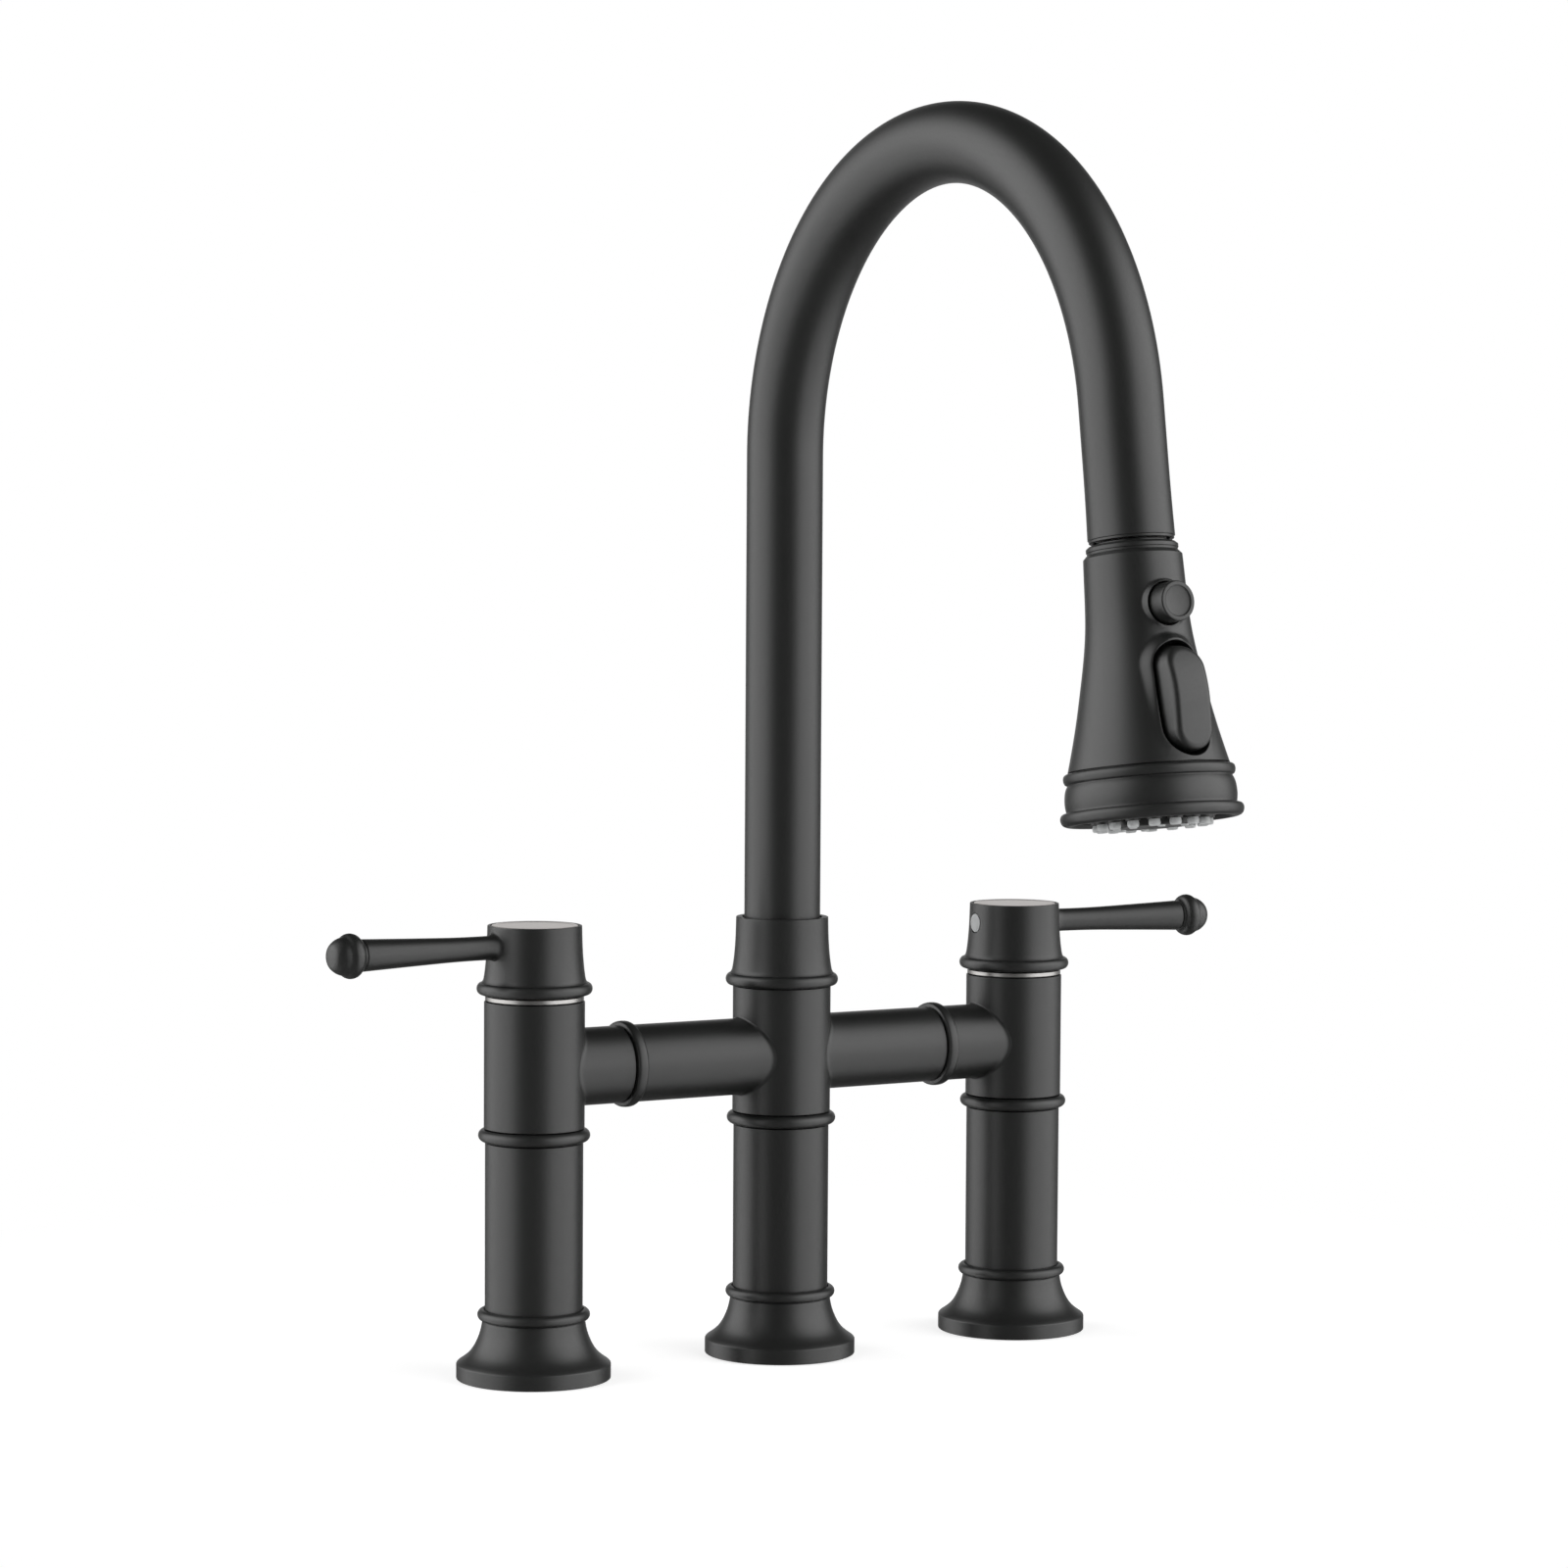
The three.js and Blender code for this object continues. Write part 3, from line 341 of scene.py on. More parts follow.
# Lower columns: brass tubes in the same lacquer. Each stands in its flange and has an inlet socket below,
# with a half inch pipe thread in the two outer ones, and a socket above for the body.
column_radius, column_top = 17.35, 84.0
inlet_radius, inlet_top = 10.3, 18.0
socket_radius, socket_floor = 13.0, 68.0
thread_pitch, thread_depth = 1.814, 0.75
bore = {"hot": 6.0, "spout": 7.6, "cold": 6.0}
for leg in legs:
    thread = [(inlet_radius - thread_depth * (k % 2), 1.0 + thread_pitch / 2 * k) for k in range(17)]
    column = turned(
        rounded(
            [
                (foot_radius, 0.3),
                (foot_radius, recess_floor + gap),
                (column_radius, recess_floor + gap, 0.2),
                (column_radius, column_top, 0.3),
                (socket_radius, column_top),
                (socket_radius, socket_floor),
                (bore[leg], socket_floor),
                (bore[leg], inlet_top),
                (inlet_radius, inlet_top),
                *(reversed(thread) if leg != "spout" else []),
                (inlet_radius, 0.3),
            ]
        )
    )
    placed(
        column, f"{leg}_column_tube", lacquer, "fixture", [f"{leg}_lower_column"],
        upright(leg),
    )


# Mid rings: brass rings with a full round bead, in the same lacquer. Each is slipped over the spigot of the
# body above it and hides the joint between that and the column.
ring_foot, ring_top = column_top + gap, 88.7
for leg in legs:
    ring = turned(
        rounded(
            [
                (socket_radius, ring_foot),
                *bead(17.6, 19.8, ring_foot, ring_top),
                (socket_radius, ring_top),
            ]
        )
    )
    placed(
        ring, f"{leg}_bead_ring", lacquer, "fixture", [f"{leg}_mid_ring"], upright(leg)
    )


# Valve bodies: brass castings, a column with a stub brazed on towards the bridge. The top is bored and
# threaded for the cartridge and its bonnet.
def saddled(mesh, crown, fade=12.0):
    """Draws the near end of a tube along Z back, so that it lies on an upright cylinder of a radius in mm."""
    for vert in mesh.verts:
        across = min(abs(vert.co.y * 1000), crown)
        back = math.sqrt(crown * crown - across * across) - crown
        share = min(max(1 - (vert.co.z * 1000 - crown) / fade, 0.0), 1.0)
        vert.co.z += back * share / 1000


def lying(x, turn, z):
    """Lays Z level, turned by so many degrees from +X, with its start at (x, 0, z) mm and the mesh's Y kept
    level too."""
    return (
        Matrix.Translation((x / 1000, 0, z / 1000))
        @ Matrix.Rotation(math.radians(turn), 4, "Z")
        @ Matrix.Rotation(math.radians(90), 4, "Y")
    )


def merged(mesh, other, where):
    """Adds another mesh, laid where it belongs, to a mesh as a part of the same piece."""
    bmesh.ops.transform(other, matrix=where, verts=other.verts)
    spare = bpy.data.meshes.new("spare")
    other.to_mesh(spare)
    other.free()
    mesh.from_mesh(spare)
    bpy.data.meshes.remove(spare)


body_radius, body_foot, valve_top = 17.8, ring_top + gap, 134.0
spigot_radius, spigot_foot = socket_radius - gap, socket_floor + gap
chamber_radius, chamber_floor = 12.3, 98.0
bridge_height, bridge_radius, stub_end = 109.6, 13.82, 33.6
stub_bore, sleeve_radius = 8.0, 10.5

# The turn in degrees from +X that faces away from the middle leg.
outward = {"hot": 180, "cold": 0}
for leg, turn in outward.items():
    body = turned(
        rounded(
            [
                (bore[leg], spigot_foot),
                (spigot_radius, spigot_foot),
                (spigot_radius, body_foot),
                (body_radius, body_foot, 0.25),
                (body_radius, valve_top, 0.35),
                (14.8, valve_top),
                (14.8, 124.3),
                (chamber_radius, 124.3),
                (chamber_radius, chamber_floor),
                (bore[leg], chamber_floor),
            ]
        )
    )
    bmesh.ops.transform(body, matrix=upright(leg), verts=body.verts)
    stub = turned(
        rounded(
            [
                (stub_bore, 14.6),
                (14.6, 14.6),
                (14.6, 17.7),
                (14.35, 17.86),
                (14.1, 18.0),
                (13.93, 18.2),
                (13.84, 18.5),
                (bridge_radius, 19.0),
                (bridge_radius, 24.0),
                (bridge_radius, 29.0),
                (bridge_radius, stub_end, 0.3),
                (sleeve_radius, stub_end),
                (sleeve_radius, 48.1),
                (stub_bore, 48.1),
            ]
        )
    )
    saddled(stub, body_radius)
    merged(body, stub, lying(legs[leg], 180 - turn, bridge_height))
    placed(body, f"{leg}_valve_casting", lacquer, "fixture", [f"{leg}_valve_body"])


# Bridge: two brass tubes slipped over the spigots of the bodies, each with a bead ring at its outer end and
# its inner end cut to a saddle and soldered to the middle body.
bridge_bore = sleeve_radius + gap
union_start, union_end = stub_end + gap, 38.1
pipe_end = legs["cold"] - union_end - gap
for leg, turn in outward.items():
    tube = turned(
        rounded(
            [
                (bridge_bore, 17.84),
                (14.5, 17.84),
                (14.2, 18.0),
                (13.98, 18.2),
                (13.86, 18.5),
                (bridge_radius, 19.0),
                (bridge_radius, 24.0),
                (bridge_radius, 30.0),
                (bridge_radius, pipe_end, 0.3),
                (bridge_bore, pipe_end),
                (bridge_bore, 30.0),
            ]
        )
    )
    saddled(tube, body_radius)
    placed(
        tube, f"{leg}_bridge_pipe", lacquer, "fixture", [f"{leg}_bridge_tube"],
        lying(legs["spout"], turn, bridge_height),
    )
    union_line = [
        (13.9, union_start),
        (14.9, 33.95),
        (15.35, 34.7),
        (15.45, 36.0),
        (15.35, 37.3),
        (14.9, 38.05),
        (13.9, union_end),
    ]
    union = turned([(bridge_bore, union_start), *flowing(union_line), (bridge_bore, union_end)])
    placed(
        union, f"{leg}_union_bead", lacquer, "fixture", [f"{leg}_union_ring"],
        lying(legs[leg], turn + 180, bridge_height),
    )


# Middle body: a brass casting with a spigot to each side for the bridge tubes, bored right through for the
# hose, with a thread at the top for the collar.
thread_radius, thread_floor = 16.2, 120.4
middle = turned(
    rounded(
        [
            (bore["spout"], spigot_foot),
            (spigot_radius, spigot_foot),
            (spigot_radius, body_foot),
            (body_radius, body_foot, 0.25),
            (body_radius, 134.7, 0.3),
            (thread_radius, 134.7),
            (thread_radius, thread_floor),
            (chamber_radius, thread_floor),
            (chamber_radius, chamber_floor),
            (bore["spout"], chamber_floor),
        ]
    )
)
for turn in (outward["cold"], outward["hot"]):
    spigot = turned([(stub_bore, 14.6), (sleeve_radius, 14.6), (sleeve_radius, 27.8), (stub_bore, 27.8)])
    merged(middle, spigot, lying(legs["spout"], turn, bridge_height))
placed(middle, "spout_body_casting", lacquer, "fixture", ["spout_body"])


# Collar: brass, turned with the same bead and flare as the handles. It screws into the middle body and
# keeps the spout upright while it turns.
collar_bore, collar_foot, bead_foot = 14.3, 126.3, 135.0
collar_line = [
    (18.95, 139.3),
    (18.35, 139.85),
    (17.95, 141.6),
    (17.45, 145.2),
    (17.05, 150.0),
    (16.85, 155.0),
    (16.78, 159.3),
]
collar = turned(
    rounded(
        [
            (collar_bore, collar_foot),
            (thread_radius - gap, collar_foot),
            (thread_radius - gap, bead_foot),
            *bead(18.75, 20.45, bead_foot, 139.2),
            *flowing(collar_line),
            (16.75, 159.8, 0.3),
            (14.6, 159.8, 0.25),
            (collar_bore, 150.0),
        ]
    )
)
placed(collar, "spout_collar_nut", lacquer, "fixture", ["spout_collar"])


# Gooseneck: a brass tube 27.6 mm across, bent over a former to an arch of 105.5 mm that leaves the outlet
# leg 8.5 degrees off upright, then lacquered. Its last 26 mm are flared by 0.3 mm to a small lip.
arch_radius, arch_foot, lean, outlet_run = 105.5, 326.8, 8.5, 44.9
spout_radius, spout_bore, bush_ledge = 13.8, 12.3, 122.1
sweep = math.radians(180 - lean)
outlet = Matrix.Translation((0, -0.216478, 0.297987)) @ Matrix.Rotation(sweep, 4, "X")


def only(kind, geom):
    """The vertices, edges or faces among what an operator gives back."""
    return [g for g in geom if isinstance(g, kind)]


def gooseneck(rings, sides, foot, past, bend_steps):
    """Draws rings of the given radii in mm up from foot, over the arch, and past it down the outlet leg.
    Gives the mesh, with the edges at its foot and at its far end."""
    mesh = bmesh.new()
    for radius in rings:
        bmesh.ops.create_circle(
            mesh, segments=sides, radius=radius / 1000, matrix=Matrix.Translation((0, 0, foot / 1000))
        )
    first = mesh.edges[:]
    run = bmesh.ops.extrude_edge_only(mesh, edges=first)["geom"]
    bmesh.ops.translate(mesh, vec=(0, 0, (arch_foot - foot) / 1000), verts=only(BMVert, run))
    bend = bmesh.ops.spin(
        mesh,
        geom=only((BMVert, BMEdge), run),
        cent=(0, -arch_radius / 1000, arch_foot / 1000),
        axis=(1, 0, 0),
        angle=sweep,
        steps=bend_steps,
    )["geom_last"]
    run = bmesh.ops.extrude_edge_only(mesh, edges=only(BMEdge, bend))["geom"]
    down = outlet.to_3x3() @ Vector((0, 0, 1))
    bmesh.ops.translate(mesh, vec=down * past / 1000, verts=only(BMVert, run))
    return mesh, first, only(BMEdge, run)


flare_start, flare, flare_steps = -26.0, 0.3, 8
neck, foot_edges, _ = gooseneck(
    (spout_radius, spout_bore), sides=96, foot=bush_ledge + gap, past=outlet_run + flare_start, bend_steps=96
)
bmesh.ops.bridge_loops(neck, edges=foot_edges)
tip = turned(
    rounded(
        [
            (spout_radius, flare_start),
            *[
                (spout_radius + flare * (k / flare_steps) ** 2, flare_start + 3.1 * k)
                for k in range(1, flare_steps + 1)
            ],
            (14.1, -0.75, 0.15),
            (13.75, -0.6, 0.05),
            (13.75, 0.2, 0.15),
            (spout_bore, 0.2, 0.2),
            (spout_bore, flare_start),
        ]
    ),
    closed=False,
)
merged(neck, tip, outlet)
to_outlet = outlet.inverted()
seam = [v for v in neck.verts if abs((to_outlet @ v.co).z - flare_start / 1000) < 1e-5]
bmesh.ops.remove_doubles(neck, verts=seam, dist=5e-5)
bmesh.ops.recalc_face_normals(neck, faces=neck.faces)
placed(neck, "spout_gooseneck", lacquer, "spout", ["spout_tube"])


# Spray hose: a rubber hose 12.4 mm across under a tight braid of grey nylon, from the middle leg's foot to
# the coupling. It slides in the spout; here its last stretch is a short piece of its own, fixed where it is
# drawn.
hose_radius = 6.2

# The braid's strands are really about 0.5 mm wide, and are drawn at 1.6 mm so that they show.
strand_size = 0.0016
braid, tree, place = blank("braided_grey_nylon")
weave = add(tree, "ShaderNodeTexVoronoi", {"Vector": place, "Scale": 1 / strand_size, "Randomness": 0.15})
strand = add(
    tree,
    "ShaderNodeMapRange",
    {"Value": weave.outputs["Distance"], "From Min": 0.05, "From Max": 0.6, "To Min": 1.0, "To Max": 0.0},
)
tones = {0: strand.outputs[0], 6: linear("#4a4c4e"), 7: linear("#a9acad")}
tone = add(tree, "ShaderNodeMix", tones, data_type="RGBA")
bumps = add(tree, "ShaderNodeBump", {"Height": strand.outputs[0], "Strength": 0.6, "Distance": 0.0003})
skin = add(
    tree,
    "ShaderNodeBsdfPrincipled",
    {"Base Color": tone.outputs[2], "Roughness": 0.6, "Normal": bumps.outputs[0], "IOR": 1.53},
)
add(tree, "ShaderNodeOutputMaterial", {"Surface": skin.outputs[0]})

run_start, run_end, run_steps = -20.7, -14.3, 40
hose, foot_edges, end_edges = gooseneck(
    (hose_radius,), sides=32, foot=0.3, past=outlet_run + run_start - gap, bend_steps=60
)
bmesh.ops.contextual_create(hose, geom=foot_edges)
bmesh.ops.contextual_create(hose, geom=end_edges)
bmesh.ops.recalc_face_normals(hose, faces=hose.faces)
placed(hose, "spray_hose_braided", braid, "spout", ["spray_hose"])

run_line = [(hose_radius, run_start + (run_end - run_start) * k / run_steps) for k in range(run_steps + 1)]
run = turned([(0.0, run_start), *run_line, (0.0, run_end)], closed=False, steps=32)
hose_end = finished(run, "spray_hose_end", braid, outlet)
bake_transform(hose_end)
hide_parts("spray_hose_run")


# Dock and bush: white acetal rings, moulded. The dock is pressed in the spout's end and guides the coupling;
# the bush lies under the spout's foot and lets it turn.
def moulded(name, cloud_size, deep, pale, smooth, rough, index):
    """A moulded plastic or rubber in two near tones: cloudy within and satin, with no sharp highlight."""
    finish, tree, place = blank(name)
    cloud = add(tree, "ShaderNodeTexNoise", {"Vector": place, "Scale": 1 / cloud_size, "Detail": 2.0})
    tones = {0: cloud.outputs[0], 6: linear(deep), 7: linear(pale)}
    tone = add(tree, "ShaderNodeMix", tones, data_type="RGBA")
    dull = add(
        tree,
        "ShaderNodeMapRange",
        {"Value": cloud.outputs[0], "From Min": 0.3, "From Max": 0.7, "To Min": smooth, "To Max": rough},
    )
    skin = add(
        tree,
        "ShaderNodeBsdfPrincipled",
        {"Base Color": tone.outputs[2], "Roughness": dull.outputs[0], "IOR": index},
    )
    add(tree, "ShaderNodeOutputMaterial", {"Surface": skin.outputs[0]})
    return finish


acetal = moulded(
    "moulded_white_acetal",
    cloud_size=0.004,
    deep="#cfcfc8",
    pale="#dddcd6",
    smooth=0.42,
    rough=0.55,
    index=1.48,
)
dock = turned(
    rounded([(7.0, -14.9), (11.85, -14.9, 0.4), (11.85, -0.3, 0.4), (7.0, -0.3, 1.2)], steps=5)
)
placed(dock, "spray_dock_ring", acetal, "spout", ["spray_dock"], outlet)

bush_foot, bush_top = thread_floor + gap, collar_foot - gap
bush = turned(
    rounded(
        [
            (spout_bore, bush_foot),
            (thread_radius - gap, bush_foot, 0.3),
            (thread_radius - gap, bush_top, 0.3),
            (spout_radius + gap, bush_top, 0.3),
            (spout_radius + gap, bush_ledge, 0.2),
            (spout_bore, bush_ledge),
        ]
    )
)
placed(bush, "spout_bush_ring", acetal, "fixture", ["spout_bush"])


# Valve cartridges and stems: machined brass, hidden in the bodies. They keep the turning marks of the lathe,
# which are really about 0.2 mm apart and are drawn at 1.2 mm so that they show.
mark_pitch = 0.0012
brass, tree, place = blank("turned_brass")
marks = add(
    tree,
    "ShaderNodeTexWave",
    {"Vector": place, "Scale": 1 / mark_pitch, "Distortion": 0.4},
    bands_direction="Z",
)
cloud = add(tree, "ShaderNodeTexNoise", {"Vector": place, "Scale": 1 / 0.006, "Detail": 2.0})
tones = {0: cloud.outputs[0], 6: linear("#b5934f"), 7: linear("#c9a862")}
tone = add(tree, "ShaderNodeMix", tones, data_type="RGBA")
dull = add(tree, "ShaderNodeMapRange", {"Value": marks.outputs[1], "To Min": 0.26, "To Max": 0.38})
skin = add(
    tree,
    "ShaderNodeBsdfPrincipled",
    {"Base Color": tone.outputs[2], "Metallic": 1.0, "Roughness": dull.outputs[0]},
)
add(tree, "ShaderNodeOutputMaterial", {"Surface": skin.outputs[0]})
for leg in ("hot", "cold"):
    for part in ("cartridge", "stem"):
        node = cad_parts[f"{leg}_{part}"]
        node.data.materials.clear()
        node.data.materials.append(brass)


# Bonnets: turned brass nuts, chrome plated, that hold the cartridges down. Their lip shows as a bright ring
# under each handle, a little narrower than the body. The plate is hazy over the turned metal, not a mirror.
def metal(name, grain, detail, deep, pale, smooth, rough):
    """Plated or ground metal in two near tones, with a roughness that follows its grain."""
    finish, tree, place = blank(name)
    haze = add(tree, "ShaderNodeTexNoise", {"Vector": place, "Scale": 1 / grain, "Detail": detail})
    tones = {0: haze.outputs[0], 6: linear(deep), 7: linear(pale)}
    tone = add(tree, "ShaderNodeMix", tones, data_type="RGBA")
    dull = add(
        tree,
        "ShaderNodeMapRange",
        {"Value": haze.outputs[0], "From Min": 0.3, "From Max": 0.7, "To Min": smooth, "To Max": rough},
    )
    skin = add(
        tree,
        "ShaderNodeBsdfPrincipled",
        {"Base Color": tone.outputs[2], "Metallic": 1.0, "Roughness": dull.outputs[0]},
    )
    add(tree, "ShaderNodeOutputMaterial", {"Surface": skin.outputs[0]})
    return finish


chrome = metal(
    "hazy_chrome_plate",
    grain=0.0025,
    detail=2.0,
    deep="#9d9c9a",
    pale="#aba9a7",
    smooth=0.3,
    rough=0.4,
)
for leg in ("hot", "cold"):
    nut = turned(
        rounded(
            [
                (8.3, 124.6),
                (14.5, 124.6),
                (14.5, valve_top + gap),
                (17.45, valve_top + gap, 0.25),
                (17.45, 136.0, 0.4),
                (8.3, 136.0),
            ]
        )
    )
    placed(nut, f"{leg}_bonnet_nut", chrome, "fixture", [f"{leg}_bonnet"], upright(leg))


# Handle hubs: zinc castings, hollow below, with a beaded skirt, a flat top let in for the cap and a drilled
# hole for the set screw opposite the lever. The rod screws in at the other side.
def opened(mesh, radius_at, columns, rows, holes, lip=lambda y, x, h: y):
    """Opens round-ended holes through the +Y side of a spun grid with its rows at the given heights. For each
    hole the faces of a rectangle of the grid are deleted, their edge is drawn to the hole's outline, rounded
    over and sunk to a flat floor. A hole is (half columns, first row, last row, upper and lower centre,
    half width, rounding, distance of the floor from the axis). Sizes in mm."""
    spread, halvings, round_steps = 8, 30, 6
    step = 2 * math.pi / columns
    index = {round(h, 3): j for j, h in enumerate(rows)}
    grid = {}
    for vert in mesh.verts:
        j = index.get(round(vert.co.z * 1000, 3))
        reach = math.hypot(vert.co.x, vert.co.y) * 1000
        if j is not None and abs(reach - radius_at(rows[j])) < 0.02 and vert.co.y > 0:
            grid[(round(math.atan2(vert.co.x, vert.co.y) / step), j)] = vert
    flat = {spot: (vert.co.x * 1000, vert.co.z * 1000) for spot, vert in grid.items()}
    rims = []
    for wide, first, last, (top, foot), half_width, edge, floor in holes:
        covered = {vert for (i, j), vert in grid.items() if abs(i) <= wide and first <= j <= last}
        touched = {face for vert in covered for face in vert.link_faces}
        inside = {face for face in touched if covered.issuperset(face.verts)}
        # A point near the hole moves away from its centre, and less the further out it lies. Halving finds
        # how many times further out the edge has to be, to lie on the outline.
        centre = (top + foot) / 2
        rows_above, rows_below = min(spread, first), min(spread, len(rows) - 1 - last)
        for (i, j), vert in grid.items():
            ci, cj = min(max(i, -wide), wide), min(max(j, first), last)
            if abs(i) < wide and first < j < last:
                continue
            share = max(abs(i - ci) / spread, (cj - j) / rows_above, (j - cj) / rows_below)
            if share >= 1:
                continue
            x, h = flat[(ci, cj)]
            low, high = 0.0, 4.0
            for _ in range(halvings):
                t = (low + high) / 2
                along = centre + (h - centre) * t
                past = math.hypot(x * t, along - min(max(along, top), foot)) - half_width - edge
                low, high = (t, high) if past < 0 else (low, t)
            weight = 1 - share * share * (3 - 2 * share)
            vert.co.x = (flat[(i, j)][0] + (x * t - x) * weight) / 1000
            vert.co.z = (flat[(i, j)][1] + (h - centre) * (t - 1) * weight) / 1000
        border = {e for face in inside for e in face.edges}
        rim = [e for e in border if not all(f in inside for f in e.link_faces)]
        within = [v for v in grid.values() if set(v.link_faces) <= inside]
        bmesh.ops.delete(mesh, geom=within, context="VERTS")
        grid = {spot: vert for spot, vert in grid.items() if vert.is_valid}
        rims.append((rim, top, foot, edge, floor))
    for vert in grid.values():
        x, h = vert.co.x * 1000, vert.co.z * 1000
        vert.co.y = lip(math.sqrt(max(radius_at(h) ** 2 - x * x, 0.0)), x, h) / 1000
    for rim, top, foot, edge, floor in rims:
        for k in range(1, round_steps + 1):
            angle, before = math.pi / 2 * k / round_steps, math.pi / 2 * (k - 1) / round_steps
            made = bmesh.ops.extrude_edge_only(mesh, edges=rim)["geom"]
            rim = only(BMEdge, made)
            for vert in only(BMVert, made):
                nearest = min(max(vert.co.z * 1000, top), foot)
                off = Vector((vert.co.x * 1000, vert.co.z * 1000 - nearest))
                off *= 1 - edge * (math.sin(angle) - math.sin(before)) / off.length
                vert.co.x, vert.co.z = off.x / 1000, (nearest + off.y) / 1000
                vert.co.y -= edge * (math.cos(before) - math.cos(angle)) / 1000
        made = bmesh.ops.extrude_edge_only(mesh, edges=rim)["geom"]
        for vert in only(BMVert, made):
            vert.co.y = floor / 1000
        bmesh.ops.contextual_create(mesh, geom=only(BMEdge, made))
    bmesh.ops.recalc_face_normals(mesh, faces=mesh.faces)


def radius_on(line):
    """A function that gives the radius at a height, in mm, on a line of (radius, height) points."""

    def radius_at(h):
        if h <= line[0][1]:
            return line[0][0]
        for (r0, h0), (r1, h1) in zip(line, line[1:]):
            if h0 <= h <= h1:
                return r0 + (r1 - r0) * (h - h0) / max(h1 - h0, 1e-9)
        return line[-1][0]

    return radius_at


hub_line = [
    (18.75, 140.6),
    (18.2, 141.1),
    (17.8, 143.0),
    (17.35, 146.8),
    (17.0, 151.2),
    (16.8, 156.0),
    (16.7, 160.4),
]
hub_radius = radius_on(flowing(hub_line, steps=12))
hub_rows = [142.0 + 0.5 * k for k in range(37)]
hub_foot, hub_hollow, hub_top, cap_seat, hub_columns = 136.4, 144.6, 160.8, 159.3, 240
lever_height, lever_forward = 153.7, 4.8
lever_turn = {"hot": outward["hot"] + lever_forward, "cold": outward["cold"] - lever_forward}
screw_hole = (7, 17, 30, (lever_height, lever_height), 3.75, 0.15, 13.2)
for leg in ("hot", "cold"):
    hub = turned(
        [
            *rounded(
                [
                    (0.0, 156.9),
                    (4.3, 156.9),
                    (4.3, hub_hollow),
                    (13.6, hub_hollow),
                    (13.6, hub_foot, 0.2),
                    *bead(18.7, 20.45, hub_foot, 140.55),
                    (18.75, 140.6),
                ]
            ),
            *[(hub_radius(z), z) for z in (140.9, 141.2, 141.6)],
            *[(hub_radius(z), z) for z in hub_rows],
            *rounded(
                [
                    (16.7, 160.3),
                    (16.68, hub_top, 0.3),
                    (15.65, hub_top, 0.15),
                    (15.65, cap_seat),
                    (0.0, cap_seat),
                ]
            ),
        ],
        closed=False,
        steps=hub_columns,
    )
    opened(hub, hub_radius, hub_columns, hub_rows, [screw_hole])
    placed(
        hub, f"{leg}_handle_hub", lacquer, f"{leg}_handle", [f"{leg}_hub"],
        upright(leg) @ Matrix.Rotation(math.radians(lever_turn[leg] + 90), 4, "Z"),
    )


# Index caps: thin discs of brass, satin chrome plated, pressed flush in the tops of the hubs, with a turned
# edge. The brushing spreads what they mirror to an even warm grey.
# It is really finer than 0.1 mm, and is drawn at 0.6 mm so that it shows.
brushing = 0.0006
satin = metal(
    "satin_chrome_plate",
    grain=brushing,
    detail=3.0,
    deep="#d4cdc9",
    pale="#e0dad6",
    smooth=0.29,
    rough=0.37,
)
cap_foot, cap_radius, cap_top = cap_seat + gap, 15.3, 160.85
for leg in ("hot", "cold"):
    cap = turned(
        rounded(
            [
                (0.0, cap_foot),
                (cap_radius, cap_foot),
                (cap_radius, cap_top, 0.35),
                (13.9, cap_top, 0.4),
                (13.2, 160.7, 0.4),
                (0.0, 160.75),
            ]
        ),
        closed=False,
    )
    placed(
        cap, f"{leg}_cap_disc", satin, f"{leg}_handle", [f"{leg}_index_cap"], upright(leg)
    )


# Lever rods: brass rods turned with a gentle taper that grows outwards. The root is filleted where it meets
# the hub, and a fine lip at the far end takes the finial.
rod_end, tang_radius = 70.9, 2.3
hub_side = 16.84
for leg in ("hot", "cold"):
    rod = turned(
        [
            *rounded([(0.0, 8.4), (3.0, 8.4, 0.3), (3.0, 14.5), (5.6, 14.5)]),
            (5.6, 16.7),
            (5.3, 16.86),
            (4.95, 17.1),
            (4.65, 17.5),
            (4.42, 18.1),
            (4.28, 19.0),
            *flowing([(4.22, 20.0), (4.2, 27.0), (4.35, 36.0), (4.75, 47.0), (5.1, 57.0), (5.62, 70.2)]),
            (5.62, 70.6),
            (5.45, 70.85),
            (tang_radius, rod_end),
            (tang_radius, 62.5),
            (0.0, 62.5),
        ],
        closed=False,
        steps=64,
    )
    saddled(rod, hub_side, fade=6.0)
    placed(
        rod, f"{leg}_lever_bar", lacquer, f"{leg}_handle", [f"{leg}_lever_rod"],
        lying(legs[leg], lever_turn[leg], lever_height),
    )


# Finials: turned brass in the same lacquer, screwed into the rods by a tang. Each is a bold round bead that
# runs out into a blunt dome.
finial_line = [
    (5.6, 71.15),
    (5.8, 72.1),
    (7.3, 72.9),
    (7.95, 74.8),
    (7.7, 76.4),
    (6.8, 77.6),
    (6.5, 78.6),
    (6.1, 79.8),
    (5.2, 81.2),
    (3.9, 82.5),
    (1.8, 82.85),
    (0.0, 82.85),
]
for leg in ("hot", "cold"):
    finial = turned(
        [
            (0.0, 62.8),
            (tang_radius - gap, 62.8),
            (tang_radius - gap, 71.1),
            (5.5, 71.1),
            *flowing(finial_line),
        ],
        closed=False,
        steps=64,
    )
    placed(
        finial, f"{leg}_lever_bead", lacquer, f"{leg}_handle", [f"{leg}_lever_finial"],
        lying(legs[leg], lever_turn[leg], lever_height),
    )


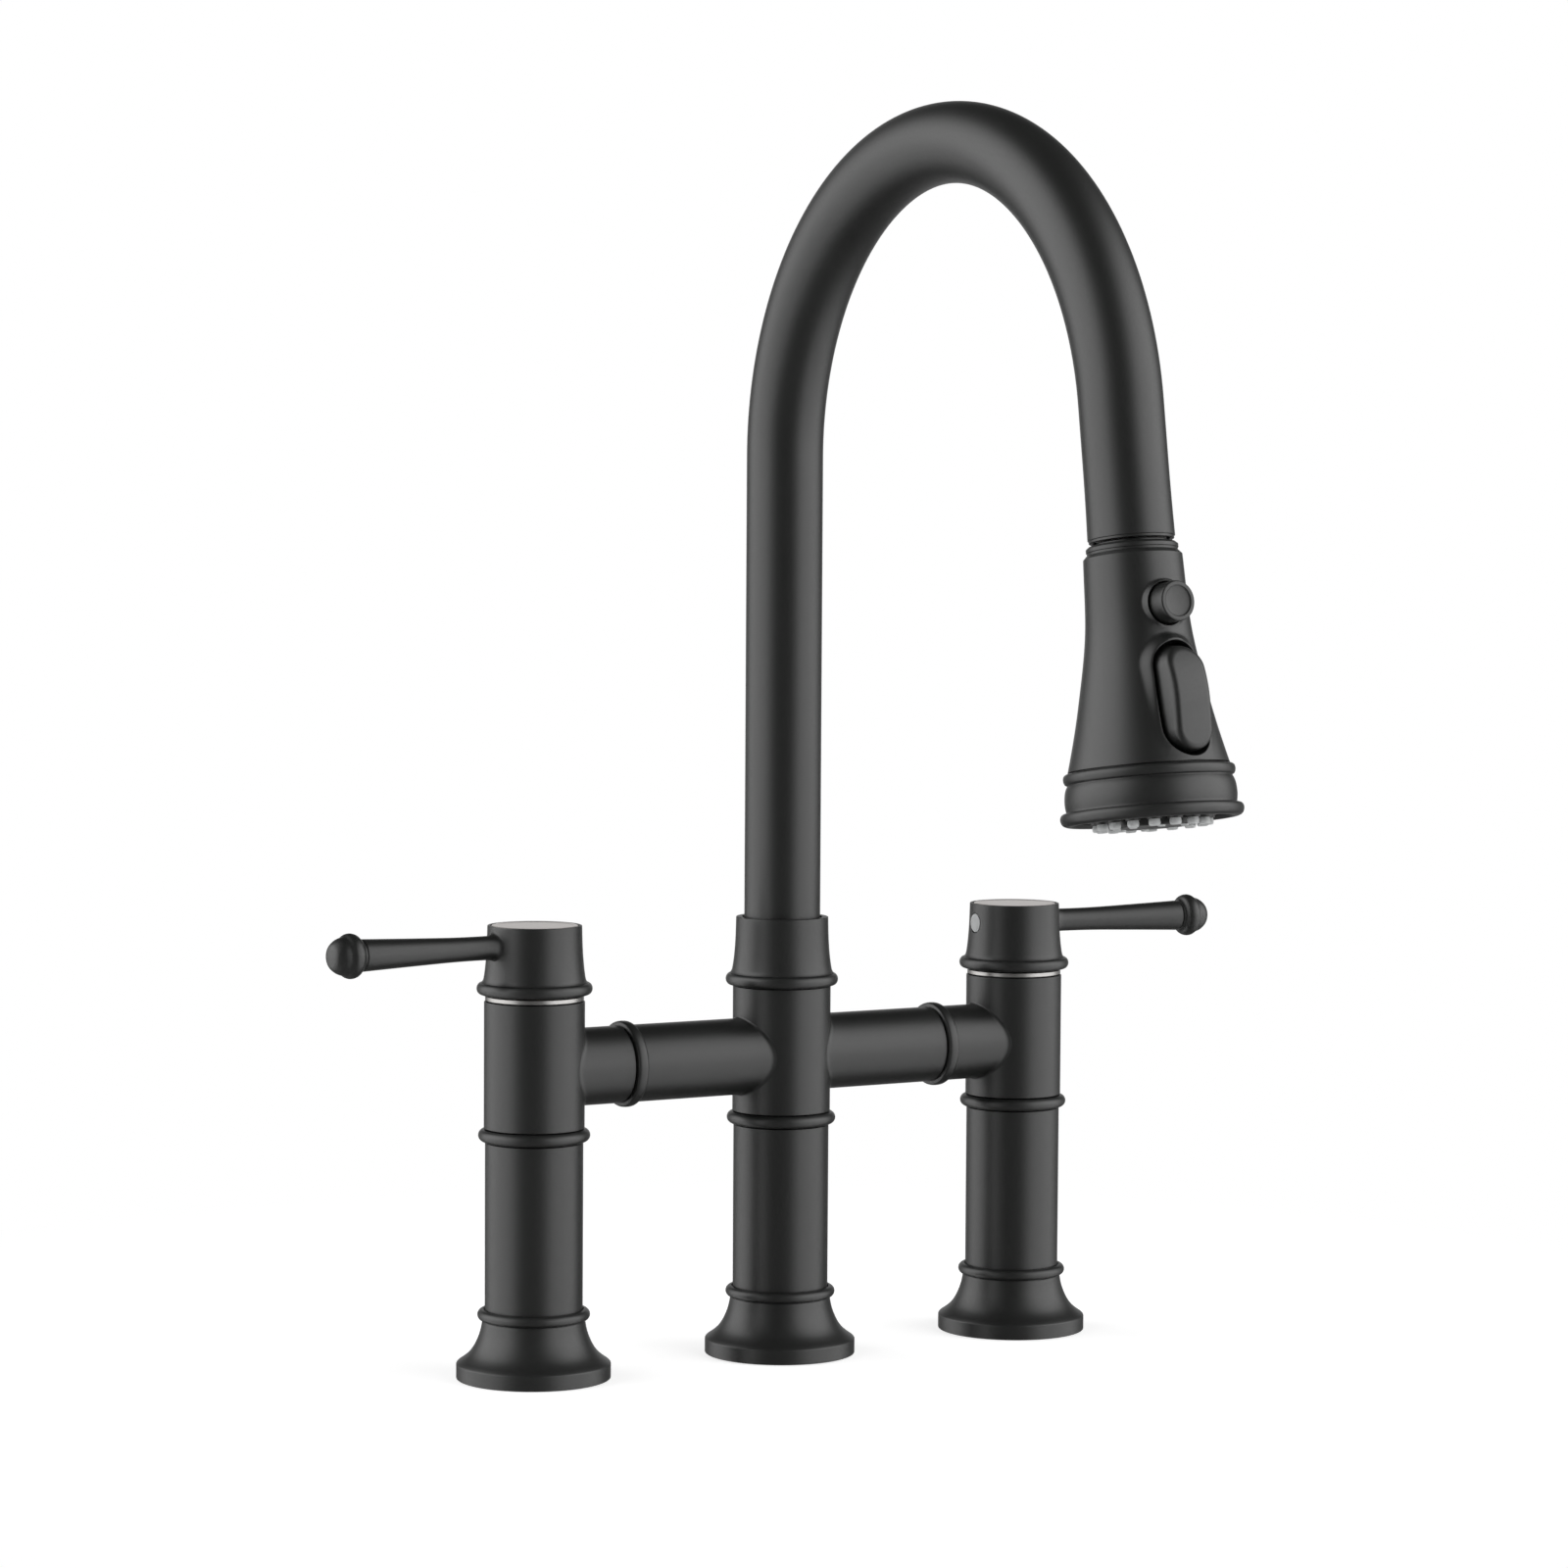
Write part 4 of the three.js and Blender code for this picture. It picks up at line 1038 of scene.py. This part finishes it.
# Set screws and the rocker's pin: hardened steel, ground and oiled, hidden by the plugs and the rocker. The
# grinding is drawn as coarse as the brushing of the caps.
steel = metal(
    "ground_steel", grain=brushing, detail=3.0, deep="#8b8e92", pale="#a6a9ac", smooth=0.28, rough=0.42
)
for name in ("hot_set_screw", "cold_set_screw", "spray_pin"):
    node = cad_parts[name]
    node.data.materials.clear()
    node.data.materials.append(steel)


# Plugs: soft grey silicone discs with a shallow crown, pushed in over the set screws. They are pulled out
# again to take a handle off.
silicone = {"cloud_size": 0.002, "smooth": 0.5, "rough": 0.62, "index": 1.41}
grey_silicone = moulded("moulded_grey_silicone", deep="#aeb0b0", pale="#bcbebe", **silicone)
plug_radius, plug_back, plug_face = 3.5, 14.3, 16.75
for leg in ("hot", "cold"):
    plug = turned(
        [
            *rounded(
                [
                    (0.0, plug_back),
                    (plug_radius, plug_back, 0.2),
                    (plug_radius, plug_face, 0.25),
                    (2.6, 16.85),
                ]
            ),
            (1.3, 16.92),
            (0.0, 16.94),
        ],
        closed=False,
        steps=48,
    )
    placed(
        plug, f"{leg}_grey_plug", grey_silicone, f"{leg}_handle", [f"{leg}_plug"],
        lying(legs[leg], lever_turn[leg] + 180, lever_height),
    )


# Spray head. Neck: moulded black ABS, sprayed to match the brass, with two fine steps under the spout's end.
# It swivels in the shell and slides in the dock. From here on heights run down the head from the spout's end.
plastic = sprayed(
    "sprayed_black_abs",
    peel_size=0.0007,
    cloud_size=0.018,
    deep="#151615",
    pale="#1a1b1a",
    relief=0.2,
    height=0.00003,
)
water_way, neck_radius = 3.5, 9.7
coupling = turned(
    rounded(
        [
            (water_way, -14.0),
            (6.6, -14.0, 0.5),
            (6.6, 0.5),
            (11.9, 0.5, 0.2),
            (11.9, 1.3),
            (13.9, 1.3, 0.2),
            (14.87, 2.1, 0.2),
            (14.87, 3.2, 0.1),
            (14.6, 3.4),
            (14.6, 4.1),
            (neck_radius, 3.9),
            (neck_radius, 14.5),
            (water_way, 14.5),
        ]
    )
)
placed(coupling, "spray_neck_coupling", plastic, "spray_coupling", ["spray_neck"], outlet)


# Shell: the moulded bell of the spray head, in the same sprayed black. A soft bulge carries the button, and a
# long oval opening with a raised lip that dies out downwards holds the rocker.
bell_line = [
    (15.95, 5.4),
    (16.15, 10.0),
    (16.45, 20.0),
    (16.95, 28.6),
    (18.2, 37.6),
    (20.05, 47.4),
    (21.95, 57.0),
    (24.15, 66.4),
    (25.95, 73.2),
]
bell_radius = radius_on(flowing(bell_line, steps=12))
button_down, slot_top, slot_foot, slot_half = 22.3, 43.25, 62.95, 8.75


def soft(value):
    """Eases from 0 to 1."""
    value = min(max(value, 0.0), 1.0)
    return value * value * (3 - 2 * value)


def head_lip(y, x, h):
    """The bell's front with the bulge round the button and the lip round the rocker's opening."""
    bulge_front, bulge_radius = 17.3, 8.3
    from_button = math.hypot(x, h - button_down)
    y += max(bulge_front - y, 0.0) * soft((bulge_radius - from_button) / 1.4)
    lip_least, lip_more, lip_foot, lip_run, lip_width = 0.2, 2.0, 65.0, 26.0, 3.0
    from_slot = math.hypot(x, h - min(max(h, slot_top), slot_foot)) - slot_half
    lift = lip_more * soft((lip_foot - h) / lip_run) + lip_least
    return y + lift * soft((lip_width - from_slot) / 2.6)


bell_columns = 288
bell_rows = [5.9 + 0.55 * k for k in range(123)]
skirt_radius, skirt_foot = 24.5, 84.8
bell = turned(
    [
        (0.0, 15.1),
        (neck_radius + gap, 15.1),
        *rounded([(neck_radius + gap, 4.2), (14.85, 4.2, 0.15), (15.95, 5.4, 0.2), (bell_radius(5.9), 5.9)]),
        *[(bell_radius(h), h) for h in bell_rows[1:]],
        (bell_radius(73.2), 73.2),
        (skirt_radius, 73.3),
        (skirt_radius, skirt_foot),
        (0.0, skirt_foot),
    ],
    closed=False,
    steps=bell_columns,
)
button_hole = (16, 19, 40, (button_down, button_down), 7.0, 0.4, 11.9)
rocker_hole = (16, 51, 120, (slot_top, slot_foot), slot_half, 0.4, 10.5)
opened(bell, bell_radius, bell_columns, bell_rows, [button_hole, rocker_hole], head_lip)
placed(bell, "spray_bell", plastic, "spray_head", ["spray_shell"], outlet)


# Rim: a moulded ring that screws over the shell's skirt, with a bead at the top, a bulged band and a bolder
# bead at the foot.
rim_bore = skirt_radius + gap
rim = turned(
    [
        *rounded([(rim_bore, 73.6), (26.3, 73.6, 0.3)]),
        *flowing([(26.4, 73.65), (27.3, 73.9), (27.7, 75.3), (27.3, 76.9), (26.55, 77.2), (26.5, 77.5)]),
        *flowing([(26.5, 77.6), (26.9, 78.2), (27.4, 79.8), (27.65, 82.0), (27.65, 84.2), (27.3, 86.1)]),
        *flowing([(27.35, 86.2), (28.6, 86.2), (29.45, 87.3), (29.45, 88.7), (28.7, 90.2), (27.4, 90.5)]),
        *rounded([(27.3, 90.5), (26.0, 90.5, 0.3), (rim_bore, 89.4)]),
    ],
    steps=144,
)
placed(rim, "spray_rim_ring", plastic, "spray_head", ["spray_rim"], outlet)


# Face: a moulded black plate with a raised disc in the middle. Low collars stand on it round the outer
# nozzles; the inner ones come through the disc.
plate_back, plate_front = skirt_foot + gap, 89.1
face = turned(
    rounded(
        [
            (0.0, plate_back),
            (skirt_radius, plate_back),
            (skirt_radius, plate_front, 0.3),
            (23.4, plate_front, 0.1),
            (23.2, 88.8, 0.1),
            (23.0, plate_front, 0.1),
            (21.2, plate_front, 0.2),
            (20.8, 89.6, 0.2),
            (14.4, 89.6, 0.2),
            (14.0, 92.3, 0.5),
            (2.0, 92.3, 0.2),
            (1.6, 91.9, 0.2),
            (0.0, 91.9),
        ]
    ),
    closed=False,
    steps=144,
)


def ringed(count, ring_at):
    """Places for so many pieces, evenly spaced on a ring of a radius in mm."""
    turns = [Matrix.Rotation(2 * math.pi * (k + 0.5) / count, 4, "Z") for k in range(count)]
    return [turn @ Matrix.Translation((ring_at / 1000, 0, 0)) for turn in turns]


# Each round of nozzles has its places, their radius and where their tips end.
outer_round = (ringed(16, 17.5), 1.9, 92.8)
inner_round = (ringed(8, 11.9), 1.4, 92.9)
places, radius, tip = outer_round
for where in places:
    low_collar = turned(
        rounded([(radius, 89.4), (radius + 0.8, 89.4), (radius + 0.45, 90.7, 0.2), (radius, 90.7, 0.1)]),
        steps=24,
    )
    merged(face, low_collar, where)
placed(face, "spray_face_plate", plastic, "spray_head", ["spray_face"], outlet)


# Nozzles: one mat of pale silicone that lies within the face plate, with two rounds of soft nozzles that come
# out through it and can be rubbed clean of lime.
pale_silicone = moulded("moulded_pale_silicone", deep="#d6d8d8", pale="#e0e2e2", **silicone)
mat_back, hole_radius = 87.7, 0.45
mat = turned(
    rounded([(8.7, mat_back), (20.3, mat_back), (20.3, plate_front, 0.3), (8.7, plate_front, 0.3)]), steps=144
)
for places, radius, tip in (outer_round, inner_round):
    for where in places:
        nozzle = turned(
            [
                *flowing([(radius + 0.1, 88.9), (radius - 0.2, 89.4), (radius - 0.2, 90.5)], steps=3),
                *flowing([(radius - 0.15, 90.8), (radius, 91.2), (radius, 91.7)], steps=3),
                *flowing([(radius, 91.8), (radius * 0.98, tip), (radius * 0.45, tip), (0.55, tip)], steps=4),
                (hole_radius, tip - 0.2),
                (hole_radius, tip - 2.0),
                (0.0, tip - 2.0),
            ],
            closed=False,
            steps=24,
        )
        merged(mat, nozzle, where)
placed(mat, "spray_nozzle_mat", pale_silicone, "spray_head", ["spray_nozzles"], outlet)


# Button: a moulded black cap that stops the water while it is pressed. It slides in a round well in the
# shell, and its face is dished for a thumb.
front = outlet @ Matrix.Rotation(math.radians(-90), 4, "X")
button_radius, button_back, button_top = 6.5, 14.2, 22.95
button = turned(
    [
        *rounded(
            [
                (0.0, button_back),
                (button_radius, button_back, 0.3),
                (button_radius, button_top, 0.75),
                (5.1, button_top, 0.2),
            ]
        ),
        *flowing([(4.9, 22.7), (3.6, 22.2), (0.0, 22.0)], steps=6),
    ],
    closed=False,
    steps=72,
)
placed(
    button, "spray_button_cap", plastic, "button", ["spray_button"],
    front @ Matrix.Translation((0, -button_down / 1000, 0)),
)


# Rocker: a moulded black paddle that tips over its pin to change from stream to spray. Its sides draw in
# towards a well rounded face, which falls away at the upper end. Its sizes are in metres, and cuts across it,
# one to a millimetre, let the face bend.
paddle_half, upper_end, lower_end = 0.0083, 0.0104, -0.0089
paddle_back, paddle_front, draw_in = 0.0136, 0.0275, 0.85
pin_down, fall = 54.1, 0.0145
rocker = bmesh.new()
bmesh.ops.create_circle(rocker, cap_ends=True, segments=96, radius=paddle_half)
for vert in rocker.verts:
    vert.co.y += upper_end if vert.co.y > 1e-6 else lower_end if vert.co.y < -1e-6 else 0.0
bmesh.ops.translate(rocker, vec=(0, 0, paddle_back), verts=rocker.verts)
raised = bmesh.ops.extrude_face_region(rocker, geom=rocker.faces[:])["geom"]
for vert in only(BMVert, raised):
    end = min(max(vert.co.y, lower_end), upper_end)
    vert.co = (vert.co.x * draw_in, end + (vert.co.y - end) * draw_in, paddle_front)
bmesh.ops.recalc_face_normals(rocker, faces=rocker.faces)
top_edges = [edge for edge in rocker.edges if all(vert.co.z > paddle_front - 0.0005 for vert in edge.verts)]
bmesh.ops.bevel(rocker, geom=top_edges, offset=0.0021, affect="EDGES", segments=8, profile=0.5, material=-1)
for cut in range(-16, 19):
    everything = rocker.verts[:] + rocker.edges[:] + rocker.faces[:]
    bmesh.ops.bisect_plane(rocker, geom=everything, plane_co=(0, cut / 1000, 0), plane_no=(0, 1, 0))
for vert in rocker.verts:
    if vert.co.z > paddle_back + 0.0001:
        above = max(vert.co.y * 1000 + 1.0, 0.0)
        share = (vert.co.z - paddle_back) / (paddle_front - paddle_back)
        vert.co.z -= fall * above * above * share / 1000
placed(
    rocker, "spray_rocker_paddle", plastic, "rocker", ["spray_rocker"],
    front @ Matrix.Translation((0, -pin_down / 1000, 0)),
)
